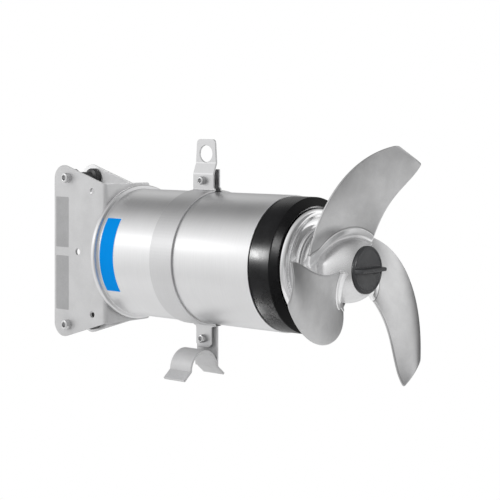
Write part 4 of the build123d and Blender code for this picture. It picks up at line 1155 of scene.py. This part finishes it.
class MIXER_OT_nose(bpy.types.Operator):
    """Black ring and the cover behind the propeller"""

    bl_idname = "mixer.nose"
    bl_label = "Ring and front cover"

    def execute(self, context):
        low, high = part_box("bumper_ring")
        outer = (high.z - low.z) / 2
        nose = cad_high("front_housing", 0)
        profile = [(low.x, NOSE_RADIUS), (low.x, outer), (high.x - RING_BEVEL, outer), (high.x, RING_FACE),
                   (high.x, RING_MOUTH), (nose + RING_GAP, RING_MOUTH), (nose + RING_GAP, NOSE_RADIUS)]
        rounds = np.array([0, 0.8, 1.2, 0.8, 0.6, 0, 0]) * MM
        mesh = turned("black_ring", softened(profile, rounds, steps=6), segments=CASING_SEGMENTS, hollow=True)
        show("black_ring", mesh, "drive_unit", black_ring_finish(), ["bumper_ring"])
        mesh = turned("front_cover_disc", self.cover(nose), segments=CASING_SEGMENTS, hollow=True)
        show("front_cover_disc", mesh, "drive_unit", cover_steel(), ["front_cover"],
             crease=50)
        return {"FINISHED"}

    def cover(self, nose):
        """Profile of the front cover: spigot, rounded rim, a dish that is a parabola, and the boss."""
        low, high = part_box("front_cover")
        rim, face = (high.z - low.z) / 2, high.x - BOSS_HEIGHT
        turn = np.linspace(0, pi / 2, 12)[1:]
        quarter = np.stack([np.sin(turn), np.cos(turn)], -1)
        edge = np.array([face - RIM_ROUND, rim - RIM_ROUND]) + RIM_ROUND * quarter
        crown = np.array([high.x - BOSS_ROUND, BOSS_RADIUS - BOSS_ROUND]) + BOSS_ROUND * quarter
        share = np.linspace(1, 0, 16)
        outwards = BOSS_RADIUS + (rim - DISH_INSET - BOSS_RADIUS) * share
        dish = np.stack([face - DISH_DEPTH * 4 * share * (1 - share), outwards], -1)
        return np.concatenate([
            [(low.x, FRONT_COVER_BORE), (low.x, FRONT_COVER_SPIGOT), (nose, FRONT_COVER_SPIGOT),
             (nose, rim - RIM_BEVEL), (nose + RIM_BEVEL, rim), (face - RIM_ROUND, rim)], edge, dish,
            [(face + BOSS_FOOT, BOSS_RADIUS), (high.x - BOSS_ROUND, BOSS_RADIUS)], crown,
            [(high.x, FRONT_COVER_BORE)]])


# Blades, as in the part's own source: millimetres and degrees
HUB_REAR = cad_low("propeller_hub", 0) / MM
CONVEX_TURNS = (6.0, 48.1, 84.6, 110.1)
CONCAVE_TURNS = (120.2, 114.9, 130.6, 128.0)
CONVEX_STATIONS = (0.147, 0.608, 0.717, 0.937)
CONCAVE_STATIONS = (0.772, 0.849, 0.881, 1.0)
BLADE_DEPTH, BLADE_CAMBER, BLADE_SHEET = 91.9, 5.0, 3.5
TIP_RADIUS, TIP_SAG, ROOT_RADIUS, ROOT_SLOWING = 187.5, 4.9, 55.5, 4.0
BLADE_COUNT, TIP_CHORD, TIP_CORNER, TIP_TRIM = 3, 62.0, 3.8, 0.1
# Roundings of a blade's long edges and of its tip, and how far out the tip's begins to count
EDGE_ROUND, TIP_ROUND, TIP_ROUND_START = 2.2, 2.0, 20
# Weld at the root: height of its throat and how fast it falls, and the thickened collar round it
THROAT, THROAT_FALL, COLLAR, COLLAR_REACH, COLLAR_EDGE = 4.2, 1.7, 1.35, 11.1, 0.8
COLLAR_TRACE, COLLAR_TRACE_START, COLLAR_TRACE_FALL = 0.2, 11.6, 2.5
# Band painted bright, partly as a highlight on the collar: its end and the softness of it; the
# painted shadow line beyond the collar's step, and half its width
BAND_END, BAND_SOFTNESS, HEAT_LINE, HEAT_WIDTH = 12.0, 0.6, 12.8, 0.7
# Hub: ball's radius and centre, waist's station, length, skirt's radius and length, mouth and bore,
# and how far the hollow curve runs on straight from skirt and ball, as shares of its length
HUB_BALL, BALL_STATION, WAIST_STATION, HUB_LENGTH = 49.5, 41.0, 23.5, 76.0
HUB_SKIRT, SKIRT_LENGTH, HUB_MOUTH, MOUTH_FLOOR, HUB_BORE = 57.0, 10.0, 24.0, 50.0, 15.2
SKIRT_PULL, BALL_PULL = 0.45, 0.3


def cubic(ends, t):
    """A cubic curve's value: each control value times its binomial weight in t and one less t."""
    return sum(comb(3, i) * t ** i * (1 - t) ** (3 - i) * ends[i] for i in range(4))


def tip_edge(u):
    """The tip's distance from the shaft: a full arc's radius, less a parabola that is deepest mid-way."""
    return TIP_RADIUS - 4 * TIP_SAG * u * (1 - u)


def blade_middle(u, radius):
    """A point of the blade's sheet in millimetres, u across it and radius from the shaft.

    Turn and station come from the two edges' cubics at that radius, shared out in proportion to u,
    and a parabola across the sheet bulges it forward. Inside the root the curves slow down, so
    that they run on only a little into the hub.
    """
    t = (radius - ROOT_RADIUS) / (tip_edge(u) - ROOT_RADIUS)
    t = np.where(t > 0, t, t / (1 - ROOT_SLOWING * np.minimum(t, 0)))
    turn = np.radians((1 - u) * cubic(CONVEX_TURNS, t) + u * cubic(CONCAVE_TURNS, t))
    share = (1 - u) * cubic(CONVEX_STATIONS, t) + u * cubic(CONCAVE_STATIONS, t)
    station = BLADE_DEPTH * share + 4 * BLADE_CAMBER * u * (1 - u)
    return np.stack([HUB_REAR + station, SHAFT_Y / MM - radius * np.cos(turn), radius * np.sin(turn)], -1)


def hub_profile():
    """Profile of the hub in millimetres from its rear face: skirt, hollow curve, ball and front face."""
    low = np.array([SKIRT_LENGTH, HUB_SKIRT])
    high = np.array([WAIST_STATION, np.sqrt(HUB_BALL ** 2 - (WAIST_STATION - BALL_STATION) ** 2)])
    slope = (BALL_STATION - WAIST_STATION) / high[1]
    span = high[0] - low[0]
    first, second = low + [span * SKIRT_PULL, 0], high - np.array([1, slope]) * span * BALL_PULL
    t = np.linspace(0, 1, 16)[:, None]
    curve = cubic((low, first, second, high), t)
    station = np.linspace(WAIST_STATION, HUB_LENGTH, 34)[1:, None]
    dome = np.concatenate([station, np.sqrt(HUB_BALL ** 2 - (station - BALL_STATION) ** 2)], 1)
    heel = [(0.0, HUB_SKIRT - 1.0), (0.35, HUB_SKIRT - 0.3), (1.0, HUB_SKIRT)]
    return np.concatenate([heel, curve, dome])


def blade_root(u):
    """Distance from the shaft at which the blade meets the hub.

    It is found in sixty steps, each of them two fifths of the way to the hub's profile.
    """
    profile = hub_profile()
    root = np.full(len(u), ROOT_RADIUS)
    for _ in range(60):
        station = blade_middle(u, root)[:, 0] - HUB_REAR
        root = 0.6 * root + 0.4 * np.interp(station, profile[:, 0], profile[:, 1])
    return root


def blade_grid():
    """Grid of one blade in metres: closed loops round it, from inside the hub to the tip.

    A loop runs over the front of the sheet and back behind it. Its half thickness is that of
    the sheet, swollen near the hub as a weld's throat, times the height of a half circle near
    each long edge and near the tip. The tip's corners fall off as quarter circles. With it
    comes a mask of painted light: 1 on the weld's band, which is painted brighter, partly for
    its ground finish and partly as a painted highlight along the raised collar, and below 0 on
    a painted shadow line just beyond the collar's step.
    """
    # Places across the blade lie closer together at its edges, and places along it at the collar's
    # edge and at the tip
    fine = np.array([0, 0.0012, 0.0045, 0.010, 0.018, 0.028, 0.042, 0.06])
    u = np.concatenate([fine, np.linspace(0.08, 0.92, 40), 1 - fine[::-1]])
    root = blade_root(u)
    corner = TIP_CORNER * (1 - quarter_round(np.minimum(u, 1 - u) * TIP_CHORD, TIP_CORNER))
    tip = tip_edge(u) - TIP_TRIM - corner
    collar_steps = np.array([-7.0, -3.0, 0.0, 0.6, 1.4, 2.4, 3.6, 5.0, 7.0, 9.0, 10.6, 11.1,
                             11.4, 11.65, 12.0, 12.4, 12.8, 13.2, 13.7, 14.4, 17.0])
    near = root[None] + collar_steps[:, None]
    share = np.linspace(0, 1, 70)[1:, None]
    share = np.concatenate([share * 0.985, [[0.9895], [0.9945], [0.998], [1.0]]])
    radius = np.concatenate([near, near[-1] + (tip - near[-1]) * share])
    across = np.broadcast_to(u, radius.shape)
    middle = blade_middle(across, radius)
    aside, out = 1e-3, 0.05
    left, right = np.clip(across - aside, 0, 1), np.clip(across + aside, 0, 1)
    along_u = blade_middle(right, radius) - blade_middle(left, radius)
    along_r = blade_middle(across, radius + out) - blade_middle(across, radius - out)
    normal = np.cross(along_u, along_r)
    normal /= np.linalg.norm(normal, axis=-1)[..., None]

    beyond = radius - root[None]
    throat = THROAT * np.exp(-np.clip(beyond, 0, None) / THROAT_FALL)
    trace = COLLAR_TRACE * np.exp(-np.clip(beyond - COLLAR_TRACE_START, 0, None) / COLLAR_TRACE_FALL)
    collar = COLLAR * (1 - np.clip((beyond - COLLAR_REACH) / COLLAR_EDGE, 0, 1)) + trace
    width = np.linalg.norm(np.diff(middle, axis=1), axis=-1).sum(1)[:, None]
    side = quarter_round(np.minimum(across, 1 - across) * width, EDGE_ROUND)
    end = np.where(beyond > TIP_ROUND_START, quarter_round(tip[None] - radius, TIP_ROUND), 1)
    half = (BLADE_SHEET / 2 + collar + throat) * side * end
    centre = middle - normal * BLADE_SHEET / 2
    front, back = centre + normal * half[..., None], centre - normal * half[..., None]
    # Painted light: the weld's band painted brighter, partly as a highlight on the raised collar, and a
    # painted shadow line just beyond the collar's step
    heat = np.exp(-((beyond - HEAT_LINE) / HEAT_WIDTH) ** 2)
    dressed = np.clip((BAND_END - beyond) / BAND_SOFTNESS, 0, 1) - heat
    grid = np.concatenate([front, back[:, ::-1][:, 1:-1]], 1) * MM
    return grid, np.concatenate([dressed, dressed[:, ::-1][:, 1:-1]], 1)


class MIXER_OT_propeller(bpy.types.Operator):
    """Hub and the swept blades with their thickened roots"""

    bl_idname = "mixer.propeller"
    bl_label = "Propeller"

    def execute(self, context):
        inner = [(HUB_LENGTH, HUB_MOUTH), (MOUTH_FLOOR, HUB_MOUTH), (MOUTH_FLOOR, HUB_BORE), (0.0, HUB_BORE)]
        closed = np.concatenate([hub_profile(), inner])
        closed[:, 0] += HUB_REAR
        mesh = turned("hub_dome", closed * MM, segments=192, hollow=True)
        show("hub_dome", mesh, "rotor", hub_steel(), ["propeller_hub"], crease=40)
        points, dressed = blade_grid()
        y, z = points[..., 1] - SHAFT_Y, points[..., 2]
        for k in range(BLADE_COUNT):
            turn = 2 * pi * k / BLADE_COUNT
            spun = np.stack([points[..., 0], SHAFT_Y + y * cos(turn) - z * sin(turn),
                             y * sin(turn) + z * cos(turn)], -1)
            name = f"swept_blade_{k + 1}"
            # The mask carries the blade's painted highlight and painted shadow line
            mesh = closed_grid(name, spun, masks={"dressed": dressed})
            show(name, mesh, "rotor", blade_steel(), [f"propeller_blade_{k + 1}"], crease=60)
        return {"FINISHED"}


# Hub plug: shank's radius, and the grip bar's inset from the rim, half thickness, and rounding at
# its ends and on top; where it begins, its crest's height at the ends and the power of its fall
PLUG_SHANK, BAR_INSET, BAR_HALF, BAR_END, BAR_TOP = 23.8 * MM, 2.2 * MM, 2.7 * MM, 5 * MM, 2.0 * MM
BAR_BASE, BAR_SHOULDER, BAR_SQUARENESS = 2.0 * MM, 3.0 * MM, 2.2
# Rows up the bar's side: share of the height, and thickness against the bar's own
BAR_ROWS = ((0.0, 1.25), (0.35, 1.06), (0.75, 1.0))


class MIXER_OT_plug(bpy.types.Operator):
    """Hub plug with its grip bar"""

    bl_idname = "mixer.plug"
    bl_label = "Hub plug"

    def execute(self, context):
        low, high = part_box("hub_plug")
        face, radius = cad_high("propeller_hub", 0), (high.z - low.z) / 2
        rim = np.array([(0, -0.6), (1.6, 0), (4.5, -2.6), (4.5, -4.6), (3.7, -5.6)]) * MM
        profile = np.concatenate([[(low.x, 0), (low.x, PLUG_SHANK), (face, PLUG_SHANK)],
                                  rim + [face, radius], [(face + 3.4 * MM, 0)]])
        rounds = np.array([0, 0.5, 0, 0.3, 0.9, 0.9, 0.6, 0.6, 0]) * MM
        disc = turned("plug_disc", softened(profile, rounds, steps=6), segments=96)
        mesh = joined("plug_with_grip_bar", [disc, self.bar(face, high.x, radius - BAR_INSET)])
        show("plug_with_grip_bar", mesh, "rotor", plug_finish(), ["hub_plug"])
        return {"FINISHED"}

    def bar(self, face, top, half):
        """The grip bar: flat sides that splay at the foot, and a top that is a half ellipse across.

        Its crest is level, and near both ends falls as a power of the way to the end.
        """
        s = np.linspace(-half, half, 49)
        to_end = np.clip((np.abs(s) - half + BAR_END) / BAR_END, 0, 1)
        shoulder, base = face + BAR_SHOULDER, face + BAR_BASE
        crest = shoulder + (top - shoulder) * (1 - to_end ** BAR_SQUARENESS)
        y, thick = SHAFT_Y + s, np.full(len(s), BAR_HALF)
        side = [np.stack([base + (crest - base) * lift, y, thick * wide], -1) for lift, wide in BAR_ROWS]
        cap = [np.stack([crest - BAR_TOP * (1 - sin(turn)), y, thick * cos(turn)], -1)
               for turn in np.linspace(0, pi, 9)]
        other = [points * (1, 1, -1) for points in side[::-1]]
        return closed_grid("plug_bar", np.stack(side + cap + other).transpose(1, 0, 2))


class MIXER_OT_inside(bpy.types.Operator):
    """Finishes of the CAD pieces that stay as they are"""

    bl_idname = "mixer.inside"
    bl_label = "Inner pieces"

    def execute(self, context):
        by_slot = {
            "casing_steel": cover_steel(), "bracket_steel": sheet_steel(), "blade_steel": blade_steel(),
            "fastener_steel": screw_steel(), "shaft_steel": ground_steel(),
            "bearing_steel": ground_steel(), "rubber": rubber_finish(), "core_iron": core_sheets(),
            "winding_copper": winding_wire(), "cage_aluminium": cast_cage(),
            "holder_iron": machined_iron(), "seal_ceramic": seal_ceramic(),
            "roller_plastic": roller_finish(), "plug_plastic": plug_finish(),
            "black_ring": black_ring_finish(), "gland_brass": screw_steel(),
        }
        slots = {entry["node"]: entry["material_slot"] for entry in frame["record"]["subparts"]}
        for name, thing in frame["nodes"].items():
            thing.data.materials.clear()
            thing.data.materials.append(by_slot[slots[name]])
        return {"FINISHED"}


# Level of the studio, and its bright and dark parts: direction, sharpness and amount
STUDIO_LEVEL = 0.50
STUDIO_LOBES = (
    ((-0.66, -0.72, 0.20), 5.0, 0.46), ((-0.95, -0.30, 0.20), 4.0, 0.42), ((0.10, -0.75, 0.65), 4.0, 0.45),
    ((0.60, 0.74, 0.30), 8.0, 1.00), ((0.20, 0.85, -0.50), 8.0, 0.55), ((0.20, 0.97, 0.06), 16.0, -1.00),
    ((0.93, 0.25, 0.30), 10.0, -0.42), ((-0.30, 0.60, 0.74), 5.0, -0.20), ((-0.66, 0.05, 0.75), 9.0, -0.42),
    ((-0.66, 0.50, 0.56), 40.0, 0.70), ((-0.66, -0.05, -0.75), 6.0, 0.45),
)
# Groups of pieces that a softbox may be kept for
LIT_GROUPS = {
    "Black parts": ("black_ring", "plug_with_grip_bar"),
    "Parts in the gap": ("far_side_plate", "upper_guide_roller_turned", "lower_guide_roller_turned"),
    "Bracket parts": ("bent_guide_bracket", "rear_cover_disc"),
}
# Softboxes: name, place, aim, side, power and group
SOFTBOXES = (
    ("Key softbox", (-1.00, -1.28, 0.60), (0.25, SHAFT_Y, 0.02), 0.22, 0.9, None),
    ("Ring softbox", (-0.86, -1.34, 0.45), (0.345, -0.04, 0.02), 0.34, 56.0, "Black parts"),
    ("Bevel softbox", (1.55, -0.38, 0.46), (0.37, -0.05, 0.03), 0.22, 12.0, "Black parts"),
    ("Low softbox", (-0.45, 0.0, -0.70), (0.345, -0.04, -0.07), 0.36, 16.0, "Black parts"),
    ("Plug softbox", (1.34, 1.23, -0.12), (0.484, SHAFT_Y, 0.0), 0.08, 0.25, "Black parts"),
    ("Gap softbox", (-0.36, -0.95, 0.62), (-0.06, 0.03, 0.125), 0.30, 6.0, "Parts in the gap"),
    ("Web softbox", (0.80, 0.70, 0.90), (0.0, 0.03, 0.09), 0.30, 8.0, "Bracket parts"),
)
# The studio's floor as metal sees it: from this cosine to this, it rises from this level to this
STUDIO_FLOOR = (0.3, 0.8, 0.0, 0.4)
# Floor: how far it reaches round a point under the mixer, its thickness, shade and own light
FLOOR_REACH, FLOOR_CENTRE, FLOOR_THICKNESS, FLOOR_SHADE, FLOOR_LIGHT = 1.15, 0.2, 0.01, 0.90, 0.35
# Camera: focal length and sensor in millimetres, side of the photo and row of its horizon in pixels,
# place in metres, and turn about the vertical in degrees
FOCAL_LENGTH, SENSOR_WIDTH, PHOTO_SIDE, HORIZON_ROW = 100.6, 36.0, 500.0, 128.66
CAMERA_PLACE, CAMERA_TURN = (1.64195, SHAFT_Y - 1.58962, 0.19941), 41.3


class MIXER_OT_stage(bpy.types.Operator):
    """Floor, light and camera"""

    bl_idname = "mixer.stage"
    bl_label = "Stage"

    def execute(self, context):
        self.floor()
        self.world()
        self.lamps()
        self.camera()
        context.scene.view_settings.view_transform = "Standard"
        return {"FINISHED"}

    def lamps(self):
        """Softboxes, some of them kept for one group of pieces."""
        groups = {None: None}
        for name, members in LIT_GROUPS.items():
            groups[name] = bpy.data.collections.new(name)
            for member in members:
                groups[name].objects.link(bpy.data.objects[member])
        for name, place, aim, side, power, group in SOFTBOXES:
            lamp = bpy.data.lights.new(name, "AREA")
            lamp.energy, lamp.size, lamp.shape = power, side, "SQUARE"
            holder = bpy.data.objects.new(name, lamp)
            holder.location = place
            holder.rotation_euler = (Vector(aim) - Vector(place)).to_track_quat("-Z", "Y").to_euler()
            holder.light_linking.receiver_collection = groups[group]
            bpy.context.scene.collection.objects.link(holder)

    def camera(self):
        """A camera that stands where the photo's did."""
        lens = bpy.data.cameras.new("Photo camera")
        lens.lens, lens.sensor_width, lens.sensor_fit = FOCAL_LENGTH, SENSOR_WIDTH, "HORIZONTAL"
        lens.shift_y = -(PHOTO_SIDE / 2 - HORIZON_ROW) / PHOTO_SIDE
        lens.clip_start, lens.clip_end = 0.05, 60.0
        camera = bpy.data.objects.new("Photo camera", lens)
        camera.location = CAMERA_PLACE
        camera.rotation_euler = (radians(90), 0, radians(CAMERA_TURN))
        bpy.context.scene.collection.objects.link(camera)
        bpy.context.scene.camera = camera

    def floor(self):
        """A round pale floor that keeps shadows, and glows where it is seen directly or in metal."""
        drop = sizes().floor_drop
        turn = np.linspace(0, 2 * pi, 96, endpoint=False)
        rim = np.stack([FLOOR_CENTRE + FLOOR_REACH * np.cos(turn), SHAFT_Y + FLOOR_REACH * np.sin(turn)], -1)
        heights = (-drop - FLOOR_THICKNESS, -drop)
        points = np.stack([np.column_stack([rim, np.full(len(turn), height)]) for height in heights])
        mesh = closed_grid("floor", points)
        material = bpy.data.materials.new("Pale floor")
        material.use_nodes = True
        tree = material.node_tree
        shader = tree.nodes["Principled BSDF"].inputs
        shader["Base Color"].default_value = (FLOOR_SHADE, FLOOR_SHADE, FLOOR_SHADE, 1)
        shader["Roughness"].default_value = 0.9
        path = node(tree, "ShaderNodeLightPath").outputs
        seen = calc(tree, "MAXIMUM", path["Is Camera Ray"], path["Is Glossy Ray"])
        shader["Emission Color"].default_value = (1, 1, 1, 1)
        tree.links.new(calc(tree, "MULTIPLY", seen, FLOOR_LIGHT), shader["Emission Strength"])
        stand = bpy.data.objects.new("floor", mesh)
        mesh.materials.append(material)
        bpy.context.scene.collection.objects.link(stand)

    def world(self):
        """A studio seen by the metal, and plain white to the camera.

        The level in a direction is a base, plus each lobe's amount times the cosine of the angle
        to its own direction to a power, plus a smooth step towards the floor.
        """
        world = bpy.data.worlds.new("Studio")
        bpy.context.scene.world = world
        world.use_nodes = True
        tree = world.node_tree
        tree.nodes.clear()
        place = node(tree, "ShaderNodeTexCoord").outputs["Generated"]

        def along(direction):
            both = {"I0": place, "I1": Vector(direction).normalized()}
            return node(tree, "ShaderNodeVectorMath", {"operation": "DOT_PRODUCT"}, **both).outputs["Value"]

        level = STUDIO_LEVEL
        for direction, power, amount in STUDIO_LOBES:
            lobe = calc(tree, "POWER", calc(tree, "MAXIMUM", along(direction), 0.0), power)
            level = calc(tree, "MULTIPLY_ADD", lobe, amount, level)
        floor = ranged(tree, along((0, 0, -1)), *STUDIO_FLOOR, "SMOOTHSTEP")
        level = calc(tree, "ADD", level, floor)
        seen = node(tree, "ShaderNodeLightPath").outputs["Is Camera Ray"]
        shown = node(tree, "ShaderNodeMix", Factor=seen, I2=level, I3=1.0).outputs[0]
        back = node(tree, "ShaderNodeBackground", Color=(1, 1, 1, 1), Strength=shown)
        node(tree, "ShaderNodeOutputWorld", Surface=back.outputs[0])


PIECE_OPERATORS = (
    MIXER_OT_bracket, MIXER_OT_rollers, MIXER_OT_casing, MIXER_OT_fields, MIXER_OT_gland, MIXER_OT_clamp,
    MIXER_OT_foot, MIXER_OT_nose, MIXER_OT_propeller, MIXER_OT_plug, MIXER_OT_inside, MIXER_OT_stage,
)


class MIXER_PT_panel(bpy.types.Panel):
    """Sidebar panel with the mixer's sizes, colours and pieces"""

    bl_idname = "MIXER_PT_panel"
    bl_label = "Submersible mixer"
    bl_space_type = "VIEW_3D"
    bl_region_type = "UI"
    bl_category = "Mixer"

    def draw(self, context):
        column = self.layout.column(align=True)
        for group in (context.scene.mixer_sizes, context.scene.mixer_colours):
            for key in group.__annotations__:
                column.prop(group, key)
        for operator in PIECE_OPERATORS:
            column.operator(operator.bl_idname)


CLASSES = (MixerSizes, MixerColours, *PIECE_OPERATORS, MIXER_PT_panel)


def register():
    """Makes the classes and the scene's settings known."""
    for cls in CLASSES:
        bpy.utils.register_class(cls)
    bpy.types.Scene.mixer_sizes = bpy.props.PointerProperty(type=MixerSizes)
    bpy.types.Scene.mixer_colours = bpy.props.PointerProperty(type=MixerColours)


def unregister():
    """Takes the settings and the classes away again."""
    del bpy.types.Scene.mixer_colours
    del bpy.types.Scene.mixer_sizes
    for cls in reversed(CLASSES):
        bpy.utils.unregister_class(cls)


def main():
    """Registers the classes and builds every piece."""
    register()
    for operator in PIECE_OPERATORS:
        group, name = operator.bl_idname.split(".")
        getattr(getattr(bpy.ops, group), name)()


if __name__ == "__main__":
    main()
